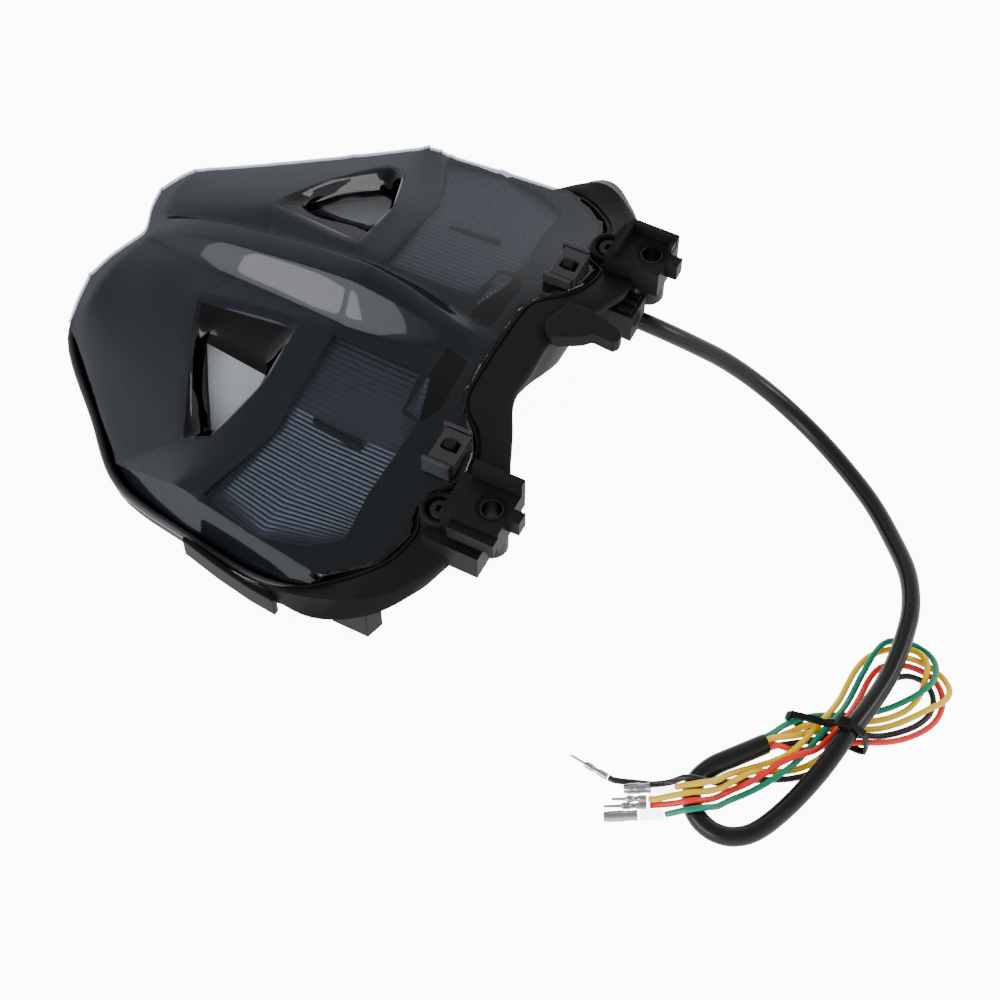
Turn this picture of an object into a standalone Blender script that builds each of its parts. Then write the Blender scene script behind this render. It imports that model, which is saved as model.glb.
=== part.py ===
"""Motorcycle tail light: smoked lens on a black tray housing, with its lead.

Lengths below are in millimetres, and MM turns them into Blender's metres.
X runs across the lamp, +Y towards the mounting lugs, +Z up; the lamp lies on
its underside, which touches the plane z = 0.
"""
import math

import bmesh
import bpy
from mathutils import Matrix, Vector

MM = 0.001
GAP = 0.3                  # clearance between pieces that touch
LENS_WALL = 2.2
LENS_DROP = 2.2            # how far the lens skirt reaches below the parting line
LEDGE_DEPTH = 5.4          # the housing's ledge lies this far below the parting line
LUG_X = 59.0               # mounting bores stand at x = +59 and x = -59
LUG_Y = 84.0
LUG_Z = 68.0               # top of the lug plates
BORE_RADIUS = 3.3
BUSH_RADIUS = 4.0
BOSS_X = 61.7
BOSS_Y = 66.9
BOSS_TOP = 60.0
BOARD_Z = 27.0
BOARD_THICK = 1.6
CABLE_RADIUS = 3.2
WIRE_RADIUS = 1.05

# Parting line between lens and housing, from the front centre round one side
# to the tip.  The other side mirrors it.
PARTING = [
    (0, 53.5, 64.6), (19, 54, 64.2), (27, 57, 63.6), (33, 63.5, 63.2), (40, 67.5, 62.3),
    (50, 68.5, 60.1), (54.5, 62.5, 58.2), (62, 59, 55), (70, 61, 52), (82, 55.5, 47.4),
    (94, 38, 40), (95.5, 16, 28.6), (90, -15, 24.5), (82.5, -47, 23), (64.5, -68.5, 27),
    (43, -91.5, 32.5), (23, -95, 35.5), (12, -91.5, 37.5), (0, -86, 40),
]
# The housing's outer rings, point for point with PARTING.
RIM = [
    (0, 69, 63.2), (14, 69, 63.2), (27, 75, 63.2), (36, 79, 63.2), (43, 81.5, 62.6),
    (56, 80, 60), (67, 77, 55), (74, 74, 51), (81, 70.5, 48.5), (92, 62, 46.5),
    (101, 45, 44.5), (99, 16, 30.5), (92.5, -15.5, 24.5), (85, -49, 22.8), (66.5, -71, 26.5),
    (44.5, -94, 32), (23, -97.5, 35), (11, -94, 37), (0, -88.5, 39.5),
]
WAIST = [
    (0, 69, 60), (14, 69, 60), (27, 75, 60), (36, 79, 60), (43, 81.5, 59),
    (56, 80, 55), (68, 77.5, 49), (75.5, 74, 45), (83.5, 70, 42.5), (97, 60.5, 41),
    (106, 44, 40), (101.5, 16, 27), (92.5, -15, 19), (85, -48.5, 17.3), (66, -70.5, 21.2),
    (44, -93.5, 26.8), (23, -96.5, 29.8), (11, -93, 31.8), (0, -87.5, 34.3),
]
TUCK = [
    (0, 58, 56), (14, 58, 56), (27, 62, 56), (36, 69, 55.5), (43, 72, 54),
    (53, 73, 50), (62, 73, 44), (70, 70, 39), (78, 66, 36), (90, 57, 34),
    (99, 42.5, 32), (97, 16, 21), (86, -12, 14.6), (77, -41, 13), (59, -60, 16),
    (39, -80, 21), (21, -84, 23.5), (10, -82, 25.5), (0, -78, 27.5),
]
FLOOR_EDGE = [
    (0, 52, 14), (14, 52, 14), (26, 54, 14), (34, 57, 14), (41, 59, 14),
    (49, 58, 14), (56, 56, 14), (63, 53, 14), (69, 50, 14), (76, 44, 14),
    (82, 35, 14), (80, 14, 14), (72, -9, 14), (62, -31, 14), (48, -45, 14),
    (32, -57, 14), (20, -61, 14), (10, -60, 14), (0, -57, 14),
]
CAVITY_FLOOR = 17.0

# Rows of the lens from the tip to the front.  Each row holds eight points, from
# the middle out: spine top, spine edge, spine foot, window inner, window middle,
# window outer, crease, foot of the side wall.
LENS_ROWS = [
    [(0, -85.5, 38), (3, -86.3, 38), (6, -87.8, 37.5), (12.5, -91.3, 35.5), (23, -94.5, 33.5),
     (34, -93.5, 31.5), (39, -92.4, 30.7), (43, -90.8, 30.3)],
    [(0, -86.5, 50.5), (3, -87.3, 50.5), (6, -88.8, 50), (13, -92.5, 48.5), (23, -95.3, 46.3),
     (34, -94.3, 43.3), (41, -92.5, 41), (45.5, -88.5, 29.8)],
    [(0, -80, 56.5), (3.5, -80.3, 56), (6.5, -81, 55), (13, -84, 54.5), (23, -86.5, 52.5),
     (35.5, -87, 49.5), (46, -86.5, 39.8), (48.5, -84.5, 29.3)],
    [(0, -66, 64.5), (4, -66, 64), (8.5, -66, 58.5), (18, -68, 59), (34, -66, 55),
     (50, -63, 47.5), (61, -69.5, 37), (63.5, -68, 25.8)],
    [(0, -42, 70.6), (4.5, -42, 70.3), (11, -43, 62), (23.5, -47, 62), (47, -36, 57.5),
     (70, -25, 49), (80.7, -48, 33.3), (82, -46.5, 20.8)],
    [(0, -8, 76), (4.5, -8, 75.6), (13.5, -8, 64), (18.5, -9, 64.2), (44, -8, 60.6),
     (67, -16.5, 51.5), (86.3, -17.5, 47.6), (89.5, -15, 22.3)],
    [(0, 2, 76.6), (4.5, 2, 76.2), (14, 2, 64.2), (20, 2.3, 64.2), (45, 2.5, 59.8),
     (67.5, -2.5, 52.2), (86.9, -13, 47.3), (90, -11, 22.9)],
    [(0, 5.5, 76.6), (4.5, 5.5, 76.2), (14, 5.5, 63.5), (20, 5.5, 63.3), (45, 5.5, 58.7),
     (68, 1, 51), (87.3, -9.5, 45.8), (90.5, -7.5, 23.5)],
    [(0, 19, 74.6), (4.5, 19, 74), (12.5, 20, 63.9), (22, 20, 63.3), (46, 20, 58.3),
     (69, 17, 51), (90, 11, 44.8), (93.6, 12, 26.2)],
    [(0, 33, 69.3), (3.5, 33, 68.8), (8.5, 34, 64.4), (24, 36, 63.8), (46, 37, 58.2),
     (69, 36, 50.5), (93, 38, 43.3), (95, 37, 38)],
    [(0, 43, 64.9), (2.2, 43.5, 64.9), (5, 44, 64.6), (25, 47, 64.1), (46, 48, 59.6),
     (68, 47, 51.2), (91, 44, 43.6), (94, 43.5, 40)],
    [(0, 62, 64.2), (4, 62, 64.2), (9, 62, 64.2), (29, 70, 64.2), (47, 78, 62.4),
     (67, 74, 54), (87, 62, 45), (91, 61, 43)],
]
WINDOW_REAR = 4            # index of the row along the windows' rear edge
WINDOW_FRONT = 5
WINDOW_FLOOR = [
    (32.5, -40, 55.5), (47, -31, 51.5), (61.5, -21.5, 45.5),
    (60.5, -18.5, 45.8), (45, -11.5, 52.5), (35.5, -12, 55.5),
]

# Terminals, as (share of the length, radius) from the front end to the wire.
PIN_PROFILE = [(0, 0), (0, 0.35), (0.45, 0.5), (0.5, 1.15), (0.62, 1.15), (0.66, 0.8), (0.76, 0.8),
               (0.8, 1.15), (1, 1.15), (1, 0)]
BULLET_PROFILE = [(0.2, 0), (0.2, 1.1), (0, 1.2), (0, 1.55), (0.25, 1.8), (0.6, 1.8), (0.64, 1.6),
                  (0.9, 1.6), (1, 1.75), (1, 0)]
SLEEVE_PROFILE = [(0, 0), (0, 1.75), (0.85, 1.7), (1, 1.45), (1, 0)]
# The tie's inner outline (y, z) in the plane where it goes round the lead and the wires.
TIE_X = 48.5
TIE_HALF_WIDTH = 1.1
TIE_THICK = 1.1
TIE_OUTLINE = [
    (188.8, 1.6), (212.8, 1.6), (214.3, 2.4), (214.3, 3.8), (213.3, 9.2), (212.2, 12.3), (208.2, 13.9),
    (204, 12.4), (201.2, 8.6), (196.4, 7.5), (188.8, 4.7), (187.8, 3.4), (187.8, 2.6),
]
# The lead leaves the gland, drops to the table and folds back under the wires.
CABLE_ROUTE = [
    (-46.5, 87.1, 47.0), (-46.8, 91.0, 46.5), (-48.8, 97.0, 43.4), (-53.0, 105.0, 37.0),
    (-59.0, 116.0, 27.0), (-63.0, 130.0, 15.5), (-61.5, 146.0, 7.5), (-55.0, 162.0, 4.2),
    (-43.5, 180.0, 3.4), (-31.0, 193.0, 4.6), (-18.5, 203.0, 7.0), (-5.0, 209.0, 8.4),
    (9.0, 211.3, 8.6), (23.0, 211.8, 8.9), (37.0, 210.3, 9.8), (50.0, 207.8, 10.0),
    (64.0, 205.0, 6.8), (78.0, 200.6, 3.8), (90.2, 195.3, 3.4), (96.0, 189.6, 3.4),
    (97.6, 183.0, 3.4), (95.6, 176.6, 3.4), (90.8, 172.1, 3.4), (84.2, 170.6, 3.4),
    (76.9, 173.2, 3.4), (69.2, 179.0, 3.4), (61.5, 185.1, 3.4),
]
# The wires leave the sleeve's cut end, loop round and come back over it to their terminals.
WIRE_ROUTES = {
    "wire_yellow_a": [
        (60.4, 184.4, 1.8), (58.4, 186.0, 1.8), (54.0, 190.0, 2.5), (49.4, 193.9, 3.0),
        (45.4, 198.4, 2.9), (42.2, 203.5, 2.1), (39.2, 208.7, 1.3), (35.9, 213.7, 1.2),
        (31.8, 218.2, 1.2), (26.8, 221.6, 1.2), (21.1, 223.1, 1.8), (15.4, 222.7, 3.9),
        (9.7, 221.1, 4.2), (6.2, 216.7, 2.6), (6.8, 211.0, 1.2), (10.2, 206.0, 1.2),
        (15.1, 202.4, 1.2), (20.9, 200.8, 1.2), (26.9, 200.4, 1.2), (33.0, 200.3, 1.5),
        (38.6, 199.9, 3.5), (44.3, 198.9, 5.2), (50.2, 197.4, 5.9), (56.0, 195.8, 5.2),
        (61.4, 193.5, 4.2), (65.5, 189.6, 2.1), (69.5, 185.2, 1.2), (74.0, 181.3, 2.4),
        (78.6, 178.5, 4.9), (83.3, 176.7, 8.2), (87.3, 172.7, 9.8), (89.5, 167.8, 7.2),
        (90.0, 166.2, 5.8),
    ],
    "wire_yellow_b": [
        (61.2, 185.3, 5.7), (59.3, 187.0, 5.6), (55.5, 191.5, 4.2), (51.4, 195.7, 3.2),
        (47.5, 200.3, 3.0), (44.2, 205.3, 2.9), (41.5, 210.6, 1.9), (38.2, 215.5, 1.2),
        (34.1, 220.0, 1.3), (29.8, 224.0, 2.4), (25.4, 227.7, 3.9), (20.4, 231.1, 4.0),
        (14.9, 231.3, 2.4), (10.6, 227.4, 1.2), (8.8, 221.8, 1.2), (9.0, 215.8, 1.8),
        (12.2, 211.4, 3.9), (17.8, 209.4, 3.1), (23.5, 208.8, 1.4), (29.4, 208.6, 1.8),
        (35.1, 208.3, 3.9), (41.0, 207.9, 4.8), (46.8, 206.8, 5.7), (52.6, 205.3, 5.1),
        (57.5, 202.8, 2.8), (62.2, 199.4, 1.3), (66.2, 195.0, 1.2), (69.3, 189.8, 1.5),
        (72.7, 185.2, 3.2), (77.7, 182.0, 3.9), (82.8, 179.1, 4.5), (87.2, 175.8, 6.9),
        (90.9, 171.4, 8.5), (94.0, 166.5, 7.2), (96.4, 161.8, 4.6), (96.8, 160.0, 3.9),
    ],
    "wire_green": [
        (60.0, 183.8, 4.2), (57.9, 185.4, 4.2), (52.5, 187.9, 3.4), (47.8, 191.5, 3.0),
        (43.9, 195.9, 2.8), (40.6, 200.8, 1.6), (37.6, 206.0, 1.2), (34.1, 210.9, 1.2),
        (30.1, 215.3, 1.3), (25.9, 219.3, 2.5), (21.6, 222.9, 4.6), (16.2, 225.2, 5.2),
        (10.3, 224.5, 4.4), (5.7, 221.3, 2.6), (3.4, 216.0, 1.3), (4.2, 210.2, 1.8),
        (7.9, 206.0, 3.4), (13.6, 204.2, 3.9), (19.4, 203.6, 2.5), (25.2, 203.2, 1.4),
        (31.2, 203.1, 1.3), (36.9, 202.8, 2.9), (42.5, 202.0, 5.2), (48.2, 200.8, 5.9),
        (53.9, 199.2, 5.2), (59.5, 197.6, 3.5), (65.2, 195.8, 3.9), (70.5, 193.2, 4.0),
        (75.3, 190.0, 2.5), (79.8, 186.3, 1.2), (84.5, 182.6, 1.4), (89.3, 180.3, 3.9),
        (93.1, 177.6, 7.7), (96.4, 173.0, 7.8), (98.3, 168.5, 4.4), (98.8, 167.0, 3.1),
    ],
    "wire_red": [
        (62.4, 186.9, 4.2), (60.6, 188.6, 4.2), (58.7, 194.0, 2.1), (55.5, 199.1, 1.9),
        (51.7, 203.8, 2.9), (48.5, 209.0, 3.0), (45.6, 214.4, 3.0), (42.3, 219.5, 2.2),
        (38.3, 224.0, 1.3), (33.6, 228.0, 1.2), (28.2, 230.8, 1.2), (22.2, 231.4, 1.2),
        (16.5, 229.3, 1.2), (12.5, 224.7, 1.2), (11.5, 218.7, 1.2), (12.8, 212.8, 1.2),
        (16.3, 207.9, 1.2), (22.1, 206.1, 1.2), (28.2, 205.9, 1.3), (34.1, 205.7, 2.8),
        (39.9, 205.2, 4.7), (45.9, 204.2, 5.8), (51.8, 202.7, 5.6), (57.5, 200.5, 5.9),
        (61.9, 196.3, 6.2), (66.3, 192.3, 5.0), (71.6, 189.3, 4.2), (76.6, 185.9, 3.2),
        (80.7, 181.8, 1.3), (85.7, 178.8, 2.6), (90.0, 176.7, 6.5), (93.5, 172.5, 8.3),
        (95.4, 167.7, 5.2), (97.0, 162.6, 2.2), (97.8, 160.8, 1.8),
    ],
    "wire_black": [
        (61.9, 186.3, 1.8), (60.0, 188.0, 1.8), (56.3, 192.7, 1.6), (53.2, 197.8, 2.8),
        (49.2, 202.5, 3.0), (46.0, 207.7, 3.0), (43.2, 213.1, 2.5), (39.9, 218.1, 1.4),
        (35.8, 222.6, 1.2), (31.0, 226.4, 1.2), (25.3, 228.5, 1.2), (19.4, 227.4, 1.2),
        (15.3, 223.0, 1.2), (15.4, 217.0, 1.2), (19.5, 212.7, 1.2), (25.4, 211.5, 1.5),
        (31.3, 211.2, 3.4), (37.3, 211.0, 4.2), (43.3, 210.4, 5.1), (49.3, 209.4, 5.5),
        (54.5, 207.3, 3.1), (59.7, 204.6, 1.4), (64.6, 201.0, 1.2), (68.6, 196.4, 1.2),
        (71.7, 191.1, 1.2), (74.6, 185.7, 1.2), (77.9, 180.6, 1.3), (81.7, 176.7, 3.8),
        (84.6, 173.2, 7.8), (86.3, 167.7, 7.5), (87.9, 163.6, 3.2), (90.4, 158.5, 1.3),
        (92.6, 152.8, 1.2), (94.8, 147.1, 1.4), (94.8, 144.9, 1.4),
    ],
}


def vec(point):
    return Vector(point) * MM


def clear_scene():
    for old in list(bpy.data.objects):
        bpy.data.objects.remove(old, do_unlink=True)


def material(name, colour, roughness, metallic=0.0):
    mat = bpy.data.materials.new(name)
    mat.use_nodes = True
    shader = mat.node_tree.nodes["Principled BSDF"]
    shader.inputs["Base Color"].default_value = (*colour, 1.0)
    shader.inputs["Roughness"].default_value = roughness
    shader.inputs["Metallic"].default_value = metallic
    mat.diffuse_color = (*colour, 1.0)
    return mat


def add_object(name, bm, mat=None, smooth=False):
    """Make an object of a bmesh whose coordinates are in millimetres."""
    bmesh.ops.recalc_face_normals(bm, faces=bm.faces[:])
    bmesh.ops.scale(bm, vec=(MM, MM, MM), verts=bm.verts[:])
    mesh = bpy.data.meshes.new(name)
    bm.to_mesh(mesh)
    bm.free()
    if smooth:
        mesh.shade_smooth()
        mesh.set_sharp_from_angle(angle=math.radians(35))
    if mat:
        mesh.materials.append(mat)
    obj = bpy.data.objects.new(name, mesh)
    bpy.context.scene.collection.objects.link(obj)
    return obj


def boolean(target, tool, operation):
    """Add a Boolean whose tool is hidden from render."""
    tool.hide_render = True
    tool.display_type = 'WIRE'
    mod = target.modifiers.new(operation.title(), 'BOOLEAN')
    mod.operation = operation
    mod.solver = 'EXACT'
    mod.object = tool


def box_mesh(bm, low, high):
    size = [h - l for l, h in zip(low, high)]
    middle = [(h + l) / 2 for l, h in zip(low, high)]
    matrix = Matrix.Translation(middle) @ Matrix.Diagonal((*size, 1.0))
    bmesh.ops.create_cube(bm, size=1.0, matrix=matrix)


def tube_mesh(bm, centre, radius, low, high, sides=20, radius_top=None):
    """A closed upright cylinder or cone between two heights."""
    top = radius if radius_top is None else radius_top
    place = Matrix.Translation((centre[0], centre[1], (low + high) / 2))
    bmesh.ops.create_cone(bm, cap_ends=True, segments=sides, radius1=radius, radius2=top,
                          depth=high - low, matrix=place)


def prism_mesh(bm, outline, low, high):
    """A closed upright prism on an outline that runs anticlockwise."""
    bottom = [bm.verts.new((x, y, low)) for x, y in outline]
    top = [bm.verts.new((x, y, high)) for x, y in outline]
    bm.faces.new(list(reversed(bottom)))
    bm.faces.new(top)
    count = len(outline)
    for i in range(count):
        j = (i + 1) % count
        bm.faces.new((bottom[i], bottom[j], top[j], top[i]))


def box(name, low, high, mat=None):
    bm = bmesh.new()
    box_mesh(bm, low, high)
    return add_object(name, bm, mat)


def prism(name, outline, low, high, mat=None):
    bm = bmesh.new()
    prism_mesh(bm, outline, low, high)
    return add_object(name, bm, mat)


def cylinder(name, centre, radius, low, high, mat=None, sides=20):
    bm = bmesh.new()
    tube_mesh(bm, centre, radius, low, high, sides)
    return add_object(name, bm, mat, smooth=True)


def mirrored(outline):
    """The same outline on the other side, still running anticlockwise."""
    return [(-p[0], *p[1:]) for p in reversed(outline)]


def loop_of(half):
    """Close a half ring, given from the front round +X to the tip, with its mirror."""
    other = [(-x, y, z) for x, y, z in reversed(half[1:-1])]
    return half + other


def offset(half, distance):
    """Move a half ring outward in plan."""
    ring = loop_of(half)
    count = len(ring)
    moved = []
    for i in range(len(half)):
        before = Vector(ring[i - 1][:2])
        after = Vector(ring[(i + 1) % count][:2])
        along = (after - before).normalized()
        x, y, z = half[i]
        shift_x = -along.y * distance
        shift_y = along.x * distance
        if i in (0, len(half) - 1):
            shift_x = 0.0
        moved.append((x + shift_x, y + shift_y, z))
    return moved


def lowered(half, depth):
    return [(x, y, z - depth) for x, y, z in half]


def ring_shell(name, rings, mat):
    """Bridge closed half rings one after another, and cap both ends."""
    bm = bmesh.new()
    loops = []
    for half in rings:
        loops.append([bm.verts.new(p) for p in loop_of(half)])
    count = len(loops[0])
    for first, second in zip(loops, loops[1:]):
        for i in range(count):
            j = (i + 1) % count
            bm.faces.new((first[i], first[j], second[j], second[i]))
    bm.faces.new(loops[0])
    bm.faces.new(loops[-1])
    bmesh.ops.triangulate(bm, faces=bm.faces[:])
    return add_object(name, bm, mat)


def smooth_route(points, step):
    """Even points along a Catmull-Rom curve through a cord's route points."""
    ctrl = [Vector(p) for p in points]
    ctrl = [2 * ctrl[0] - ctrl[1]] + ctrl + [2 * ctrl[-1] - ctrl[-2]]
    dense = []
    for i in range(1, len(ctrl) - 2):
        a, b, c, d = ctrl[i - 1:i + 3]
        for k in range(24):
            t = k / 24
            dense.append(0.5 * ((2 * b) + (c - a) * t + (2 * a - 5 * b + 4 * c - d) * t * t
                                + (3 * b - a - 3 * c + d) * t ** 3))
    dense.append(ctrl[-2])
    total = sum((q - p).length for p, q in zip(dense, dense[1:]))
    count = max(2, round(total / step))
    even = [dense[0]]
    travelled = 0.0
    for p, q in zip(dense, dense[1:]):
        piece = (q - p).length
        while len(even) < count and travelled + piece >= len(even) * total / count:
            even.append(p.lerp(q, (len(even) * total / count - travelled) / piece))
        travelled += piece
    even.append(dense[-1])
    return even


def cord(name, route, radius, mat, resolution=2):
    """A plain tube along a route."""
    points = smooth_route(route, radius * 3)
    curve = bpy.data.curves.new(name, 'CURVE')
    curve.dimensions = '3D'
    curve.bevel_depth = radius * MM
    curve.bevel_resolution = resolution
    curve.use_fill_caps = True
    spline = curve.splines.new('POLY')
    spline.points.add(len(points) - 1)
    for slot, point in zip(spline.points, points):
        slot.co = (*vec(point), 1.0)
    curve.materials.append(mat)
    obj = bpy.data.objects.new(name, curve)
    bpy.context.scene.collection.objects.link(obj)
    return obj


# ---------------------------------------------------------------- lens

def lens_grid(bm, rows):
    """Vertices of the mirrored grid, as grid[row][column] with columns -7 to 7."""
    grid = []
    for row in rows:
        line = {}
        for k, (x, y, z) in enumerate(row):
            line[k] = bm.verts.new((x, y, z))
            if k:
                line[-k] = bm.verts.new((-x, y, z))
        grid.append(line)
    return grid


def window_pocket(bm, grid, side):
    """The sunk triangular window between the rear and front rows of one side."""
    rear = grid[WINDOW_REAR]
    front = grid[WINDOW_FRONT]
    rim = [rear[3 * side], rear[4 * side], rear[5 * side],
           front[5 * side], front[4 * side], front[3 * side]]
    floor = [bm.verts.new((side * x, y, z)) for x, y, z in WINDOW_FLOOR]
    for i in range(6):
        j = (i + 1) % 6
        bm.faces.new((rim[i], rim[j], floor[j], floor[i]))
    bm.faces.new((floor[0], floor[1], floor[4], floor[5]))
    bm.faces.new((floor[1], floor[2], floor[3], floor[4]))
    return rim, floor


def crease_edges(bm, layer, verts, value):
    for first, second in zip(verts, verts[1:]):
        edge = bm.edges.get((first, second))
        if edge:
            edge[layer] = value


def make_lens(mat):
    bm = bmesh.new()
    crease = bm.edges.layers.float.new('crease_edge')
    corner = bm.verts.layers.float.new('crease_vert')
    grid = lens_grid(bm, LENS_ROWS)
    last = len(LENS_ROWS) - 1
    for r in range(last):
        for c in range(-7, 7):
            window_column = 3 <= min(abs(c), abs(c + 1)) and max(abs(c), abs(c + 1)) <= 5
            if r == WINDOW_REAR and window_column:
                continue
            bm.faces.new((grid[r][c], grid[r][c + 1], grid[r + 1][c + 1], grid[r + 1][c]))
    for side in (-1, 1):
        rim, floor = window_pocket(bm, grid, side)
        for vert in rim + floor:
            vert[corner] = 0.85
        for r in range(1, last):
            grid[r][6 * side][corner] = 1.0
        for r in (1, 2):
            grid[r][4 * side][corner] = 1.0
        crease_edges(bm, crease, rim + rim[:1], 0.9)
        crease_edges(bm, crease, floor + floor[:1], 0.9)
        crease_edges(bm, crease, [grid[r][6 * side] for r in range(1, last + 1)], 0.9)
        crease_edges(bm, crease, [grid[r][7 * side] for r in range(1, last + 1)], 1.0)
        crease_edges(bm, crease, [grid[r][side] for r in range(2, last)], 0.85)
        crease_edges(bm, crease, [grid[r][2 * side] for r in range(2, last)], 0.85)
        crease_edges(bm, crease, [grid[4][5 * side], grid[4][6 * side]], 0.9)
    for r, value in ((0, 1.0), (1, 0.9), (2, 0.7), (6, 0.6), (7, 0.6)):
        crease_edges(bm, crease, [grid[r][c] for c in range(-6, 7)], value)
    lens = add_object("lens", bm, mat, smooth=True)
    subsurf = lens.modifiers.new("Subdivision", 'SUBSURF')
    subsurf.levels = 1
    subsurf.render_levels = 1
    shell = lens.modifiers.new("Wall", 'SOLIDIFY')
    shell.thickness = LENS_WALL * MM
    shell.offset = -1.0
    near = [(x, y) for x, y, z in PARTING[:11]]
    far = [(-x, y) for x, y in near[1:]]
    outline = [(-120, -110), (120, -110), (120, 37.5)] + near[::-1] + far + [(-120, 37.5)]
    boolean(lens, prism("lens_trim", outline, 0, 100), 'INTERSECT')
    slots = bmesh.new()
    loops = bmesh.new()
    for side in (-1, 1):
        box_mesh(slots, (side * 42.7 - 2.1, 57.9, 52), (side * 42.7 + 2.1, 63.7, 70))
        box_mesh(loops, (side * 43.2 - 6.6, 56, 59.6), (side * 43.2 + 6.6, 65.2, 66.5))
    boolean(lens, add_object("clip_loops", loops), 'UNION')
    boolean(lens, add_object("clip_slots", slots), 'DIFFERENCE')
    return lens


def make_seal(mat):
    outer = offset(PARTING, -0.4)
    inner = offset(PARTING, -2.4)
    top = LENS_DROP + 6 * GAP
    bottom = LEDGE_DEPTH - 2 * GAP
    bm = bmesh.new()
    loops = []
    for half in (lowered(outer, top), lowered(outer, bottom), lowered(inner, bottom), lowered(inner, top)):
        loops.append([bm.verts.new(p) for p in loop_of(half)])
    count = len(loops[0])
    for k in range(4):
        first, second = loops[k], loops[(k + 1) % 4]
        for i in range(count):
            j = (i + 1) % count
            bm.faces.new((first[i], first[j], second[j], second[i]))
    bmesh.ops.triangulate(bm, faces=bm.faces[:])
    return add_object("lens_seal", bm, mat)


# ---------------------------------------------------------------- housing

def make_tray(mat):
    """The housing's tray: outer skin, rim, ledge for the seal, and cavity."""
    mouth = offset(PARTING, 0.6)
    ledge = offset(PARTING, -3.4)
    cavity = [(x * 0.955, y * 0.955, CAVITY_FLOOR) for x, y, z in FLOOR_EDGE]
    rings = [
        FLOOR_EDGE, TUCK, WAIST, RIM, mouth,
        lowered(mouth, LEDGE_DEPTH), lowered(ledge, LEDGE_DEPTH), cavity,
    ]
    return ring_shell("housing", rings, mat)


def lug_tools(side):
    """Solid parts of one lug; the left and right walls differ."""
    inner, outer = LUG_X - 8.4, LUG_X + 8.2
    spans = [
        ((inner, 70, 57.5), (outer, 90.4, LUG_Z)),
        ((LUG_X - 2.5, 90, 62), (LUG_X + 2, 94.6, LUG_Z + 0.6)),
        ((inner + 5, 66, 47.5), (outer + 5.5, 86, 58)),
    ]
    if side > 0:
        spans.append(((inner - 2.2, 73, 60), (inner + 0.4, 90.4, LUG_Z + 5.8)))
        spans.append(((outer - 1.5, 74, 60.5), (outer + 3.4, 90.4, LUG_Z - 2.2)))
    else:
        spans.append(((outer - 1.8, 73, 60), (outer + 0.2, 90.4, LUG_Z + 3.8)))
        spans.append(((inner + 1, 72.4, 60), (outer - 1, 74.2, LUG_Z + 3.8)))
        spans.append(((outer - 6, 88.8, 66), (outer - 1, 90.2, LUG_Z + 3.4)))
    for low, high in spans:
        xs = sorted((side * low[0], side * high[0]))
        part_of_lug = bmesh.new()
        box_mesh(part_of_lug, (xs[0], low[1], low[2]), (xs[1], high[1], high[2]))
        yield add_object("lug_solid", part_of_lug)


def fin_outline(side):
    """The guide fin that stands off the housing's side."""
    outer = [(101.5, 26), (100.6, 16), (98.2, 2), (94.8, -13), (93.6, -13.6)]
    inner = [(92.9, -12.4), (96.2, 2.4), (98.4, 14), (98.4, 17), (99, 26)]
    outline = outer + inner
    return outline if side > 0 else mirrored(outline)


TAB = [(77.5, 34), (84.5, 36), (84.5, 50), (77.5, 52)]
ARM = [
    (-12.6, 71), (-15.4, 76), (-17, 78.6), (-19.6, 81), (-19, 88.6), (-21, 90),
    (-23.6, 89.8), (-25.3, 87.5), (-28.5, 76), (-28, 68), (-17, 64.5), (-12.6, 67),
]


def make_housing(mat):
    housing = make_tray(mat)
    for side in (-1, 1):
        for tool in lug_tools(side):
            boolean(housing, tool, 'UNION')
        boss = cylinder("boss_solid", (side * BOSS_X, BOSS_Y), 6.6, 44, BOSS_TOP, sides=24)
        boolean(housing, boss, 'UNION')
        boolean(housing, prism("fin_solid", fin_outline(side), 21, 30), 'UNION')
        boolean(housing, prism("tab_solid", TAB if side > 0 else mirrored(TAB), 0, 40), 'UNION')
    boolean(housing, prism("arm_solid", ARM, 60.4, 66.5), 'UNION')
    boolean(housing, box("bay_solid", (-34, -33, 0), (34, 42, 18)), 'UNION')
    boolean(housing, box("bay_hollow", (-31, -30, 2.6), (31, 39, 22)), 'DIFFERENCE')
    for side in (-1, 1):
        hook = box("hook_solid", (side * 42.7 - 1.5, 58.6, 14.5), (side * 42.7 + 1.5, 62.2, 67.6))
        boolean(housing, hook, 'UNION')
        bore = cylinder("lug_bore", (side * LUG_X, LUG_Y), BUSH_RADIUS + GAP, 40, 80, sides=24)
        boolean(housing, bore, 'DIFFERENCE')
        seat = cylinder("screw_seat", (side * BOSS_X, BOSS_Y), 4.7, BOSS_TOP - 3.6, 70, sides=20)
        boolean(housing, seat, 'DIFFERENCE')
        pilot = cylinder("screw_pilot", (side * BOSS_X, BOSS_Y), 1.9, 46, BOSS_TOP - 2, sides=12)
        boolean(housing, pilot, 'DIFFERENCE')
        for y in (-12, 34):
            post = cylinder("post_solid", (side * 56, y), 3.2, CAVITY_FLOOR - 2, BOARD_Z - GAP, sides=12)
            boolean(housing, post, 'UNION')
            hole = cylinder("post_hole", (side * 56, y), 1.4, CAVITY_FLOOR + 1, BOARD_Z + 4, sides=8)
            boolean(housing, hole, 'DIFFERENCE')
    boolean(housing, box("gland_hole", (-50.3, 50, 42.2), (-42.3, 80, 51.8)), 'DIFFERENCE')
    return housing


# ---------------------------------------------------------------- inside the lamp

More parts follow.
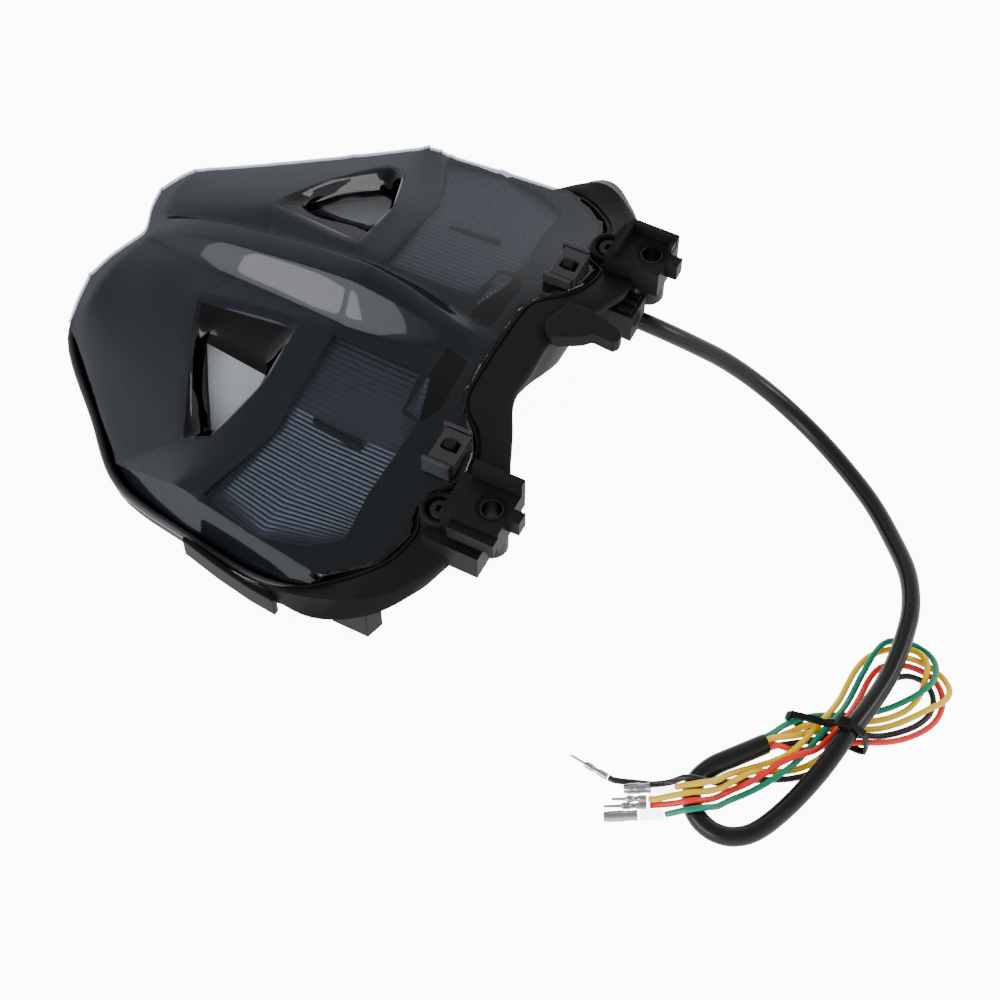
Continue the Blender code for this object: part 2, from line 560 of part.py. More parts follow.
def sheet_mesh(bm, rows, thickness):
    """A closed plate whose top face passes through the rows of points."""
    top = [[bm.verts.new(p) for p in row] for row in rows]
    under = [[bm.verts.new((x, y, z - thickness)) for x, y, z in row] for row in rows]
    last, end = len(rows) - 1, len(rows[0]) - 1
    for r in range(last):
        for c in range(end):
            bm.faces.new((top[r][c], top[r][c + 1], top[r + 1][c + 1], top[r + 1][c]))
            bm.faces.new((under[r][c], under[r + 1][c], under[r + 1][c + 1], under[r][c + 1]))
        bm.faces.new((top[r][0], top[r + 1][0], under[r + 1][0], under[r][0]))
        bm.faces.new((top[r][end], under[r][end], under[r + 1][end], top[r + 1][end]))
    for c in range(end):
        bm.faces.new((top[0][c], under[0][c], under[0][c + 1], top[0][c + 1]))
        bm.faces.new((top[last][c], top[last][c + 1], under[last][c + 1], under[last][c]))
    bmesh.ops.triangulate(bm, faces=bm.faces[:])


RIB_LENS_ROWS = [
    [(17, 3.5, 58.6), (45, 3.5, 54.6), (66, 0, 47), (79, -7, 42.6)],
    [(18, 20, 58.6), (46, 20, 53.8), (67, 17, 46.4), (84.5, 12, 40.4)],
    [(19, 36.5, 58.6), (46, 39.5, 53.6), (67, 40, 46.2), (77.5, 39.5, 42.4)],
]
RIB_LENS_THICK = 1.8
LED_SPOTS = [(31, 12), (31, 28), (50, 10), (50, 27)]


def make_rib_lens(name, side, mat):
    rows = [[(side * x, y, z) for x, y, z in row] for row in RIB_LENS_ROWS]
    bm = bmesh.new()
    sheet_mesh(bm, rows, RIB_LENS_THICK)
    return add_object(name, bm, mat, smooth=True)


def make_window_diffuser(name, side, mat):
    """A pale plate close under the floor of one window."""
    points = WINDOW_FLOOR
    middle = [sum(p[k] for p in points) / len(points) for k in (0, 1)]
    drop = LENS_WALL + 1.6
    ring = [(side * (middle[0] + (x - middle[0]) * 0.9), middle[1] + (y - middle[1]) * 0.9, z - drop)
            for x, y, z in points]
    rows = [[ring[0], ring[1], ring[2]], [ring[5], ring[4], ring[3]]]
    bm = bmesh.new()
    sheet_mesh(bm, rows, 1.5)
    return add_object(name, bm, mat)


def make_reflector(mat):
    """The dark inner bowl between the board and the lenses, with a hole for each diode."""
    rows = []
    for row in LENS_ROWS[3:11]:
        line = []
        for k in (6, 5, 4, 3, 2):
            x, y, z = row[k]
            line.append((x * 0.84, -8 + (y + 8) * 0.84, z - 13.5))
        rows.append(line + [(-x, y, z) for x, y, z in reversed(line)])
    bm = bmesh.new()
    sheet_mesh(bm, rows, 1.4)
    reflector = add_object("reflector", bm, mat)
    holes = bmesh.new()
    for side in (-1, 1):
        for x, y in LED_SPOTS:
            tube_mesh(holes, (side * x, y), 3.6, 20, 70, sides=10)
    boolean(reflector, add_object("reflector_holes", holes), 'DIFFERENCE')
    return reflector


def make_board(mat):
    outline = [(-62, -24), (62, -24), (72, -2), (72, 34), (60, 44), (-60, 44), (-72, 34), (-72, -2)]
    board = prism("led_board", outline, BOARD_Z, BOARD_Z + BOARD_THICK, mat)
    holes = bmesh.new()
    for side in (-1, 1):
        for y in (-12, 34):
            tube_mesh(holes, (side * 56, y), 1.5, 20, 40, sides=10)
    boolean(board, add_object("board_holes", holes), 'DIFFERENCE')
    return board


def make_led(name, spot, mat):
    """A surface-mounted diode with a domed front."""
    base = BOARD_Z + BOARD_THICK + GAP
    profile = [(0, base), (2.6, base), (2.6, base + 1.5), (1.9, base + 1.6), (1.1, base + 2.7),
               (0, base + 2.7)]
    return turned(name, spot, profile, 8, mat)


def make_board_screw(name, spot, mat):
    seat = BOARD_Z + BOARD_THICK + GAP
    profile = [(0, seat - 9), (1.1, seat - 9), (1.1, seat), (2.6, seat), (2.3, seat + 1.7),
               (0, seat + 1.7)]
    return turned(name, spot, profile, 10, mat)


def turned(name, centre, profile, sides, mat):
    bm = bmesh.new()
    turned_mesh(bm, centre, profile, sides)
    return add_object(name, bm, mat, smooth=True)


def turned_mesh(bm, centre, profile, sides):
    """A solid turned about an upright axis; the profile starts and ends on it."""
    rings = []
    for radius, z in profile[1:-1]:
        rings.append([bm.verts.new((centre[0] + radius * math.cos(2 * math.pi * i / sides),
                                    centre[1] + radius * math.sin(2 * math.pi * i / sides), z))
                      for i in range(sides)])
    bottom = bm.verts.new((*centre, profile[0][1]))
    top = bm.verts.new((*centre, profile[-1][1]))
    for i in range(sides):
        j = (i + 1) % sides
        bm.faces.new((bottom, rings[0][j], rings[0][i]))
        bm.faces.new((top, rings[-1][i], rings[-1][j]))
        for low, high in zip(rings, rings[1:]):
            bm.faces.new((low[i], low[j], high[j], high[i]))


def make_boss_screw(name, side, mat):
    """A pan-head screw with a square socket, down in its boss."""
    seat = BOSS_TOP - 3.6 + GAP
    profile = [(0, seat - 9), (1.3, seat - 9), (1.6, seat - 8), (1.6, seat), (4.2, seat),
               (4.2, seat + 1.6), (3.3, seat + 2.6), (0, seat + 2.6)]
    bm = bmesh.new()
    turned_mesh(bm, (side * BOSS_X, BOSS_Y), profile, 16)
    screw = add_object(name, bm, mat, smooth=True)
    x = side * BOSS_X
    socket = box("screw_socket", (x - 1.3, BOSS_Y - 1.3, seat + 1), (x + 1.3, BOSS_Y + 1.3, seat + 4))
    boolean(screw, socket, 'DIFFERENCE')
    return screw


def make_bush(name, side, mat):
    """A shouldered bush in the bore of one lug."""
    low, high = 57.9, LUG_Z - 0.8
    bm = bmesh.new()
    sides = 20
    loops = []
    for radius, z in ((BUSH_RADIUS, low), (BUSH_RADIUS, high), (BORE_RADIUS, high), (BORE_RADIUS, low)):
        loops.append([bm.verts.new((side * LUG_X + radius * math.cos(2 * math.pi * i / sides),
                                    LUG_Y + radius * math.sin(2 * math.pi * i / sides), z))
                      for i in range(sides)])
    for k in range(4):
        first, second = loops[k], loops[(k + 1) % 4]
        for i in range(sides):
            j = (i + 1) % sides
            bm.faces.new((first[i], first[j], second[j], second[i]))
    return add_object(name, bm, mat, smooth=True)


def make_gland(mat):
    """The ribbed rubber gland that the lead leaves by."""
    bm = bmesh.new()
    box_mesh(bm, (-52.2, 77.4, 41.4), (-40.8, 86, 53.4))
    gland = add_object("cable_gland", bm, mat)
    boolean(gland, box("gland_neck", (-50, 63.5, 42.5), (-42.6, 78, 51.5)), 'UNION')
    for i in range(3):
        x = -50.8 + i * 3.4
        boolean(gland, box("gland_rib", (x, 79.6, 52), (x + 1.8, 84.8, 54.8)), 'UNION')
    return gland


# ---------------------------------------------------------------- lead's loose end

def turned_along(name, start, end, profile, sides, mat):
    """A round piece along a line; the profile gives (share of the length, radius)."""
    first, last = Vector(start), Vector(end)
    turn = (last - first).to_track_quat('Z', 'Y').to_matrix().to_4x4()
    length = (last - first).length
    bm = bmesh.new()
    turned_mesh(bm, (0, 0), [(radius, share * length) for share, radius in profile], sides)
    bmesh.ops.transform(bm, matrix=Matrix.Translation(first) @ turn, verts=bm.verts[:])
    return add_object(name, bm, mat, smooth=True)


def make_tie(mat):
    """A thin band, closed round the lead and the wires."""
    count = len(TIE_OUTLINE)
    bm = bmesh.new()
    loops = []
    for x, grow in ((TIE_X - TIE_HALF_WIDTH, 0), (TIE_X + TIE_HALF_WIDTH, 0),
                    (TIE_X + TIE_HALF_WIDTH, 1), (TIE_X - TIE_HALF_WIDTH, 1)):
        loop = []
        for i, (y, z) in enumerate(TIE_OUTLINE):
            before, after = Vector(TIE_OUTLINE[i - 1]), Vector(TIE_OUTLINE[(i + 1) % count])
            along = (after - before).normalized()
            loop.append(bm.verts.new((x, y + along.y * grow * TIE_THICK, z - along.x * grow * TIE_THICK)))
        loops.append(loop)
    for k in range(4):
        first, second = loops[k], loops[(k + 1) % 4]
        for i in range(count):
            j = (i + 1) % count
            bm.faces.new((first[i], first[j], second[j], second[i]))
    bmesh.ops.triangulate(bm, faces=bm.faces[:])
    return add_object("cable_tie", bm, mat)


clear_scene()
smoked = material("smoked_lens", (0.03, 0.032, 0.035), 0.08)
black = material("black_plastic", (0.028, 0.028, 0.029), 0.42)
rubber = material("black_rubber", (0.02, 0.02, 0.02), 0.7)
prismatic = material("prism_plastic", (0.12, 0.125, 0.13), 0.15)
frosted = material("frosted_plastic", (0.3, 0.31, 0.32), 0.3)
dark_chrome = material("dark_chrome", (0.12, 0.12, 0.125), 0.25, 0.9)
board_green = material("circuit_board", (0.02, 0.09, 0.05), 0.5)
diode = material("diode", (0.7, 0.62, 0.35), 0.3)
ceramic = material("board_part", (0.08, 0.08, 0.09), 0.5)
steel = material("steel", (0.45, 0.45, 0.46), 0.3, 1.0)
zinc = material("bright_steel", (0.75, 0.75, 0.76), 0.22, 1.0)
vinyl = material("black_vinyl", (0.02, 0.02, 0.021), 0.35)
nylon = material("tie_nylon", (0.015, 0.015, 0.016), 0.4)
clear = material("clear_sleeve", (0.8, 0.82, 0.82), 0.2)
yellow = material("wire_yellow", (0.78, 0.5, 0.06), 0.35)
wire_colours = {
    "wire_yellow_a": yellow,
    "wire_yellow_b": yellow,
    "wire_green": material("wire_green", (0.02, 0.3, 0.2), 0.35),
    "wire_red": material("wire_red", (0.7, 0.05, 0.04), 0.35),
    "wire_black": material("wire_black", (0.02, 0.02, 0.02), 0.35),
}

make_lens(smoked)
make_seal(rubber)
make_housing(black)
for label, direction in (("left", 1), ("right", -1)):
    make_rib_lens("rib_lens_" + label, direction, prismatic)
    make_window_diffuser("window_diffuser_" + label, direction, frosted)
    for number, (x, y) in enumerate(LED_SPOTS, 1):
        make_led(f"turn_led_{label}_{number}", (direction * x, y), diode)
    make_boss_screw("boss_screw_" + label, direction, steel)
    make_bush("lug_bush_" + label, direction, steel)
for number, spot in enumerate([(-10, -8), (10, -8), (-10, 10), (10, 10)], 1):
    make_led(f"brake_led_{number}", spot, diode)
make_reflector(dark_chrome)
make_board(board_green)
for number, spot in enumerate([(-56, -12), (56, -12), (-56, 34), (56, 34)], 1):
    make_board_screw(f"board_screw_{number}", spot, zinc)
under = BOARD_Z - GAP
cylinder("capacitor", (-18, 4), 4.5, under - 11, under, ceramic, sides=14)
cylinder("coil", (-4, 4), 4.5, under - 6, under, ceramic, sides=14)
box("regulator", (8, -2, under - 4), (19, 9, under), ceramic)
make_gland(rubber)
cord("cable", CABLE_ROUTE, CABLE_RADIUS, vinyl, 3)
for name, route in WIRE_ROUTES.items():
    cord(name, route, WIRE_RADIUS, wire_colours[name])
turned_along("pin_black", (93.2, 130.2, 1.35), (94.8, 144.3, 1.35), PIN_PROFILE, 10, zinc)
turned_along("pin_red", (104.8, 147.6, 1.3), (98.2, 159.9, 1.5), PIN_PROFILE, 10, zinc)
turned_along("pin_yellow_b", (102.4, 149.2, 3.6), (97.1, 159.2, 3.8), PIN_PROFILE, 10, zinc)
turned_along("bullet_yellow_a", (96.5, 151.1, 2.1), (93.1, 158.8, 3.9), BULLET_PROFILE, 12, zinc)
turned_along("bullet_green", (108.3, 149.5, 1.95), (103.1, 158.9, 2.5), BULLET_PROFILE, 12, zinc)
turned_along("sleeve_yellow_a", (92.9, 159.2, 4), (90.2, 165.4, 5.4), SLEEVE_PROFILE, 12, clear)
turned_along("sleeve_green", (102.8, 159.4, 2.5), (99.1, 166.1, 3), SLEEVE_PROFILE, 12, clear)
make_tie(nylon)
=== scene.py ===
"""Motorcycle tail light: smoked lens over prismatic panels, black housing, sleeved lead.

Lengths are in millimetres up to add_object and tube, which scale them to the frame's metres.
+X runs across the lamp, +Y from its pointed end towards the lugs, +Z up through the lens.
"""
import math

import bmesh
import bpy
from mathutils import Matrix, Vector


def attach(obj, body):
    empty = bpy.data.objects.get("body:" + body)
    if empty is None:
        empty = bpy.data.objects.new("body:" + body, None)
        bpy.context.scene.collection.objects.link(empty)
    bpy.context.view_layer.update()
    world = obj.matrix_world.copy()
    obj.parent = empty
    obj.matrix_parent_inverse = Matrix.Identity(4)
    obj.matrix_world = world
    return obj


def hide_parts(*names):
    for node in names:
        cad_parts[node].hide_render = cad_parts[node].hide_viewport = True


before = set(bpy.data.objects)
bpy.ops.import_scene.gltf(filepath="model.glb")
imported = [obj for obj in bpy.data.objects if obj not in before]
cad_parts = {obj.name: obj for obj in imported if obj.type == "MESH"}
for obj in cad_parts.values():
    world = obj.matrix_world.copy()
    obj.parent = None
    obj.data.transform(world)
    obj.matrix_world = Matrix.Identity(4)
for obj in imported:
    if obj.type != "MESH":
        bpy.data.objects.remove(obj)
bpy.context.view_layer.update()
MM = 0.001
SCENE = bpy.context.scene
SIDES = (("left", 1), ("right", -1))


# ---------------------------------------------------------------- materials

SHEET_IOR = 1.55
MIRROR_SHARE = 0.6             # how much of the Fresnel reflection a clear sheet shows
MIRROR_MOST = 0.04             # and the most it may reach at a grazing angle
GRAIN_DEPTH = 0.3 * MM         # fine grain of the opaque surfaces
WAVE_SCALE, WAVE_DEPTH = 35, 0.6 * MM    # faint waviness of the clear sheets
CLOUD_SCALE = 45               # patches of slightly other gloss


def shader_of(name):
    """A new material with its nodes and links."""
    mat = bpy.data.materials.new(name)
    mat.use_nodes = True
    return mat, mat.node_tree.nodes, mat.node_tree.links


def noise_bump(nodes, links, place, scale, detail, strength, depth):
    """A bump node that a noise of the given scale drives."""
    noise = nodes.new("ShaderNodeTexNoise")
    noise.inputs["Scale"].default_value = scale
    noise.inputs["Detail"].default_value = detail
    links.new(place.outputs["Object"], noise.inputs["Vector"])
    height = nodes.new("ShaderNodeBump")
    height.inputs["Strength"].default_value = strength
    height.inputs["Distance"].default_value = depth
    links.new(noise.outputs["Fac"], height.inputs["Height"])
    return height


def plastic(name, colour, rough, grain, metallic=0.0, bump=0.15, mottle=0.0, spec=0.5):
    """An opaque surface with a fine grain and, with mottle, a slight change of gloss across it."""
    mat, nodes, links = shader_of(name)
    shader = nodes["Principled BSDF"]
    shader.inputs["Base Color"].default_value = (*colour, 1)
    shader.inputs["Roughness"].default_value = rough
    shader.inputs["Metallic"].default_value = metallic
    shader.inputs["Specular IOR Level"].default_value = spec
    place = nodes.new("ShaderNodeTexCoord")
    height = noise_bump(nodes, links, place, grain, 4, bump, GRAIN_DEPTH)
    links.new(height.outputs["Normal"], shader.inputs["Normal"])
    if mottle:
        cloud = nodes.new("ShaderNodeTexNoise")
        cloud.inputs["Scale"].default_value = CLOUD_SCALE
        links.new(place.outputs["Object"], cloud.inputs["Vector"])
        span = nodes.new("ShaderNodeMapRange")
        span.inputs["To Min"].default_value = max(0.0, rough - mottle)
        span.inputs["To Max"].default_value = min(1.0, rough + mottle)
        links.new(cloud.outputs["Fac"], span.inputs["Value"])
        links.new(span.outputs["Result"], shader.inputs["Roughness"])
    return mat


def maths(nodes, operation, value):
    """A maths node that joins its first input with a set value."""
    node = nodes.new("ShaderNodeMath")
    node.operation = operation
    node.inputs[1].default_value = value
    return node


def smoked_clear(name, tint, rough):
    """Clear or smoked sheet: what lies behind shows dimmed, and the surface mirrors the lights."""
    mat, nodes, links = shader_of(name)
    nodes.remove(nodes["Principled BSDF"])
    out = nodes["Material Output"]
    clear = nodes.new("ShaderNodeBsdfTransparent")
    clear.inputs["Color"].default_value = (*tint, 1)
    gloss = nodes.new("ShaderNodeBsdfGlossy")
    gloss.inputs["Roughness"].default_value = rough
    gloss.inputs["Color"].default_value = (0.95, 0.97, 1, 1)
    fresnel = nodes.new("ShaderNodeFresnel")
    fresnel.inputs["IOR"].default_value = SHEET_IOR
    mix = nodes.new("ShaderNodeMixShader")
    place = nodes.new("ShaderNodeTexCoord")
    height = noise_bump(nodes, links, place, WAVE_SCALE, 1, 0.05, WAVE_DEPTH)
    links.new(height.outputs["Normal"], gloss.inputs["Normal"])
    share = maths(nodes, 'MULTIPLY', MIRROR_SHARE)
    most = maths(nodes, 'MINIMUM', MIRROR_MOST)
    links.new(fresnel.outputs["Fac"], share.inputs[0])
    links.new(share.outputs["Value"], most.inputs[0])
    links.new(most.outputs["Value"], mix.inputs["Fac"])
    links.new(clear.outputs["BSDF"], mix.inputs[1])
    links.new(gloss.outputs["BSDF"], mix.inputs[2])
    links.new(mix.outputs["Shader"], out.inputs["Surface"])
    return mat


def see_through(name, tint):
    """The inner face of a clear sheet, which dims what lies behind and mirrors nothing."""
    mat, nodes, links = shader_of(name)
    nodes.remove(nodes["Principled BSDF"])
    clear = nodes.new("ShaderNodeBsdfTransparent")
    clear.inputs["Color"].default_value = (*tint, 1)
    links.new(clear.outputs["BSDF"], nodes["Material Output"].inputs["Surface"])
    return mat


def bezel_painted_shade(name, colour):
    """The bezel's satin moulding in one painted shade: each facet gets its own lighter or darker grey for
    the light that falls on it.
    """
    return plastic(name, colour, 0.35, 300, bump=0.01, spec=0.3)


def wire_coat(name, colour):
    """Soft insulation of a loose wire."""
    return plastic(name, colour, 0.36, 420, bump=0.12, mottle=0.08)


SMOKED = smoked_clear("smoked_sheet", (0.48, 0.5, 0.53), 0.03)
INSIDE = see_through("sheet_inside", (0.45, 0.47, 0.5))
# The lens is smoked evenly. Over the window floors it is made paler, as a painted reflection.
PAINTED_REFLECTION_INSIDE = see_through("window_inside_painted_reflection", (0.95, 0.95, 0.95))
PAINTED_REFLECTION_SHEET = smoked_clear("window_sheet_painted_reflection", (0.86, 0.88, 0.9), 0.03)
SMOKED_EDGE = plastic("smoked_edge", (0.03, 0.032, 0.035), 0.25, 600, bump=0.05, spec=0.25)
# One dark grey moulding, painted lighter or darker facet by facet: painted light and shade of the lens's
# facets.
BEZEL = bezel_painted_shade("bezel_dark", (0.1, 0.115, 0.145))
BEZEL_SPINE = bezel_painted_shade("bezel_spine", (0.14, 0.16, 0.168))
BEZEL_BAR = bezel_painted_shade("bezel_bar", (0.2, 0.212, 0.23))
BEZEL_FRONT = bezel_painted_shade("bezel_front", (0.12, 0.13, 0.127))
BEZEL_WALL = bezel_painted_shade("bezel_wall", (0.16, 0.17, 0.18))
PRISM = plastic("prism_panel", (0.68, 0.71, 0.76), 0.2, 300, metallic=0.5, bump=0.01)
# Near black, darker than the housing: painted shade for the recess of the pits.
PIT_SHADE = plastic("pit_painted_shade", (0.003, 0.003, 0.003), 0.6, 900, bump=0.03, spec=0.05)
HOUSING = plastic("housing_black", (0.011, 0.011, 0.0115), 0.42, 1600, bump=0.06, mottle=0.06, spec=0.06)
RUBBER = plastic("rubber_black", (0.012, 0.012, 0.012), 0.62, 900, bump=0.2, spec=0.15)
STEEL = plastic("steel_dark", (0.04, 0.04, 0.043), 0.38, 1500, metallic=1.0, bump=0.08)
TIN = plastic("tin_bright", (0.5, 0.5, 0.51), 0.22, 1800, metallic=1.0, bump=0.1)
VINYL = plastic("vinyl_black", (0.008, 0.008, 0.009), 0.24, 260, bump=0.12, mottle=0.1, spec=0.3)
TIE = plastic("tie_black", (0.006, 0.006, 0.0065), 0.4, 1200, bump=0.1, spec=0.1)
BOARD = plastic("board_green", (0.015, 0.09, 0.05), 0.4, 700)
DIODE = plastic("diode_resin", (0.72, 0.66, 0.4), 0.2, 900, bump=0.05)
CHIP = plastic("chip_black", (0.05, 0.05, 0.055), 0.45, 1200)
FROST = plastic("frost_panel", (0.6, 0.62, 0.64), 0.35, 1100)
# The right window's diffuser is the same part as the left, painted darker: painted shade.
FROST_SHADED = plastic("frost_panel_painted_shade", (0.05, 0.055, 0.058), 0.5, 1100)
CLEAR_SLEEVE = smoked_clear("clear_sleeve", (0.74, 0.77, 0.78), 0.12)
YELLOW_COAT = wire_coat("wire_yellow", (0.92, 0.58, 0.0))
WIRE_COATS = {
    "wire_yellow_a": YELLOW_COAT,
    "wire_yellow_b": YELLOW_COAT,
    "wire_green": wire_coat("wire_green", (0.0, 0.24, 0.13)),
    "wire_red": wire_coat("wire_red", (0.85, 0.02, 0.01)),
    "wire_black": wire_coat("wire_black", (0.012, 0.012, 0.012)),
}


# ---------------------------------------------------------------- mesh helpers

TURNED_SIDES, TERMINAL_SIDES = 40, 32


def add_object(name, bm, mats, smooth=True, angle=35, ride=True):
    """Make an object of a bmesh; edges that turn by more than the angle stay sharp."""
    bmesh.ops.recalc_face_normals(bm, faces=bm.faces[:])
    bmesh.ops.scale(bm, vec=(MM, MM, MM), verts=bm.verts[:])
    mesh = bpy.data.meshes.new(name)
    bm.to_mesh(mesh)
    bm.free()
    if smooth:
        mesh.shade_smooth()
        mesh.set_sharp_from_angle(angle=math.radians(angle))
    for mat in mats if isinstance(mats, (list, tuple)) else [mats]:
        mesh.materials.append(mat)
    obj = bpy.data.objects.new(name, mesh)
    SCENE.collection.objects.link(obj)
    if ride:
        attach(obj, "root")
    return obj


def boolean(target, tool, operation):
    """Join, cut or keep the target by a tool, which itself isn't shown."""
    tool.hide_render = True
    tool.display_type = 'WIRE'
    mod = target.modifiers.new(operation.title(), 'BOOLEAN')
    mod.operation = operation
    mod.solver = 'EXACT'
    mod.object = tool


def bevel(obj, width, segments=3, angle=30):
    """Round the edges that turn by more than the angle."""
    mod = obj.modifiers.new("Bevel", 'BEVEL')
    mod.width = width * MM
    mod.segments = segments
    mod.limit_method = 'ANGLE'
    mod.angle_limit = math.radians(angle)
    mod.harden_normals = True
    return obj


def box_mesh(low, high):
    """A box between two corners."""
    bm = bmesh.new()
    size = [top - bottom for bottom, top in zip(low, high)]
    middle = [(top + bottom) / 2 for bottom, top in zip(low, high)]
    bmesh.ops.create_cube(bm, size=1.0, matrix=Matrix.Translation(middle) @ Matrix.Diagonal((*size, 1.0)))
    return bm


def block(name, low, high, mat, width):
    """A box with rounded edges."""
    return bevel(add_object(name, box_mesh(low, high), mat, angle=60), width)


def prism(name, outline, low, high, mat, width=0.0):
    """An upright prism on an outline, with rounded edges where a width is given."""
    bm = bmesh.new()
    bottom = [bm.verts.new((x, y, low)) for x, y in outline]
    top = [bm.verts.new((x, y, high)) for x, y in outline]
    bm.faces.new(list(reversed(bottom)))
    bm.faces.new(top)
    count = len(outline)
    for i in range(count):
        j = (i + 1) % count
        bm.faces.new((bottom[i], bottom[j], top[j], top[i]))
    obj = add_object(name, bm, mat, angle=60)
    return bevel(obj, width) if width else obj


def turned_mesh(profile, sides):
    """A shape turned about the Z axis from (radius, height) pairs."""
    bm = bmesh.new()
    turns = [2 * math.pi * i / sides for i in range(sides)]
    rings = []
    for radius, z in profile:
        if radius == 0:
            rings.append([bm.verts.new((0, 0, z))])
        else:
            rings.append([bm.verts.new((radius * math.cos(a), radius * math.sin(a), z)) for a in turns])
    for low, high in zip(rings, rings[1:]):
        for i in range(sides):
            j = (i + 1) % sides
            if len(low) == 1:
                bm.faces.new((low[0], high[j], high[i]))
            elif len(high) == 1:
                bm.faces.new((low[i], low[j], high[0]))
            else:
                bm.faces.new((low[i], low[j], high[j], high[i]))
    return bm


def turned(name, centre, profile, mat):
    """A piece turned about an upright axis through the centre."""
    bm = turned_mesh(profile, TURNED_SIDES)
    bmesh.ops.translate(bm, vec=(*centre, 0), verts=bm.verts[:])
    return add_object(name, bm, mat)


def turned_along(name, start, end, profile, mat):
    """A round piece along a line, from (share of the length, radius) pairs."""
    first, last = Vector(start), Vector(end)
    length = (last - first).length
    bm = turned_mesh([(radius, share * length) for share, radius in profile], TERMINAL_SIDES)
    turn = (last - first).to_track_quat('Z', 'Y').to_matrix().to_4x4()
    bmesh.ops.transform(bm, matrix=Matrix.Translation(first) @ turn, verts=bm.verts[:])
    return add_object(name, bm, mat, angle=40)


def sided(outline, side):
    """An outline of the left side as it is, or mirrored to the right side."""
    return outline if side > 0 else [(-x, y) for x, y in reversed(outline)]


def catmull(points, per):
    """Points along a smooth curve through the given ones."""
    ctrl = [Vector(p) for p in points]
    ctrl = [2 * ctrl[0] - ctrl[1]] + ctrl + [2 * ctrl[-1] - ctrl[-2]]
    out = []
    for i in range(1, len(ctrl) - 2):
        a, b, c, d = ctrl[i - 1:i + 3]
        for k in range(per):
            t = k / per
            out.append(0.5 * ((2 * b) + (c - a) * t + (2 * a - 5 * b + 4 * c - d) * t * t
                              + (3 * b - a - 3 * c + d) * t ** 3))
    out.append(ctrl[-2])
    return out


# ---------------------------------------------------------------- camera and light

# The camera and the lights are placed in metres, and the floor in millimetres.
CAMERA_PLACE = (0.3675, 0.2468, 0.5836)
CAMERA_AXES = ((-0.4602, -0.7334, 0.5003), (0.8878, -0.3802, 0.2593), (0.0, 0.5635, 0.8261))
LAMP_CENTRE = Vector((0, 0.02, 0.03))
SKY_LOW, SKY_HIGH = 1.9, 0.45  # brightness at the horizon and high up
SKY_TURN = 0.9                 # upward share of a direction from which the sky stays at SKY_HIGH
FLOOR_Z = -0.05
FLOOR_HALF = 4000
FLOOR_GLOW = 11

camera = bpy.data.objects.new("camera", bpy.data.cameras.new("camera"))
camera.data.lens = 72
camera.data.sensor_width = 36
camera.data.clip_start = 0.02
camera.data.clip_end = 30
camera.matrix_world = Matrix.Translation(CAMERA_PLACE) @ Matrix(CAMERA_AXES).to_4x4()
SCENE.collection.objects.link(camera)
SCENE.camera = camera


def studio_sky():
    """A white sky, bright at the horizon and dimmer overhead."""
    world = bpy.data.worlds.new("studio")
    SCENE.world = world
    world.use_nodes = True
    nodes, links = world.node_tree.nodes, world.node_tree.links
    nodes["Background"].inputs["Color"].default_value = (1.0, 1.0, 1.0, 1)
    way = nodes.new("ShaderNodeTexCoord")
    split = nodes.new("ShaderNodeSeparateXYZ")
    fade = nodes.new("ShaderNodeMapRange")
    fade.inputs["From Min"].default_value = 0.0
    fade.inputs["From Max"].default_value = SKY_TURN
    fade.inputs["To Min"].default_value = SKY_LOW
    fade.inputs["To Max"].default_value = SKY_HIGH
    links.new(way.outputs["Generated"], split.inputs["Vector"])
    links.new(split.outputs["Z"], fade.inputs["Value"])
    links.new(fade.outputs["Result"], nodes["Background"].inputs["Strength"])


def softbox(name, direction, distance, size, power):
    """A rectangular light that shines on the lamp from a direction and distance."""
    light = bpy.data.lights.new(name, 'AREA')
    light.shape = 'RECTANGLE'
    light.size, light.size_y = size
    light.energy = power
    obj = bpy.data.objects.new(name, light)
    way = Vector(direction).normalized()
    obj.location = LAMP_CENTRE + way * distance
    obj.rotation_euler = way.to_track_quat('Z', 'Y').to_euler()
    SCENE.collection.objects.link(obj)
    return obj


def studio_floor():
    """A white floor that glows, seen directly but not in reflections."""
    bm = bmesh.new()
    bmesh.ops.create_grid(bm, x_segments=1, y_segments=1, size=FLOOR_HALF)
    for vert in bm.verts:
        vert.co.z = FLOOR_Z
    mat, nodes, _ = shader_of("floor_white")
    shader = nodes["Principled BSDF"]
    shader.inputs["Base Color"].default_value = (0.45, 0.45, 0.45, 1)
    shader.inputs["Roughness"].default_value = 0.9
    shader.inputs["Specular IOR Level"].default_value = 0.1
    shader.inputs["Emission Color"].default_value = (1, 1, 1, 1)
    shader.inputs["Emission Strength"].default_value = FLOOR_GLOW
    floor = add_object("floor", bm, mat, smooth=False, ride=False)
    floor.visible_glossy = False
    floor.visible_diffuse = False


studio_sky()
NEAR_WAY = (0.87, -0.36, 0.3)
softbox("softbox_top", (-0.35, 0.75, 0.56), 1.6, (0.7, 0.5), 6)
softbox("softbox_near", NEAR_WAY, 1.3, (0.85, 0.17), 2.1)
softbox("softbox_wide", NEAR_WAY, 1.5, (1.4, 0.9), 10)
softbox("softbox_far", (-0.92, -0.26, 0.31), 1.5, (1.8, 0.7), 15).visible_glossy = False
studio_floor()


# ---------------------------------------------------------------- lead and wires

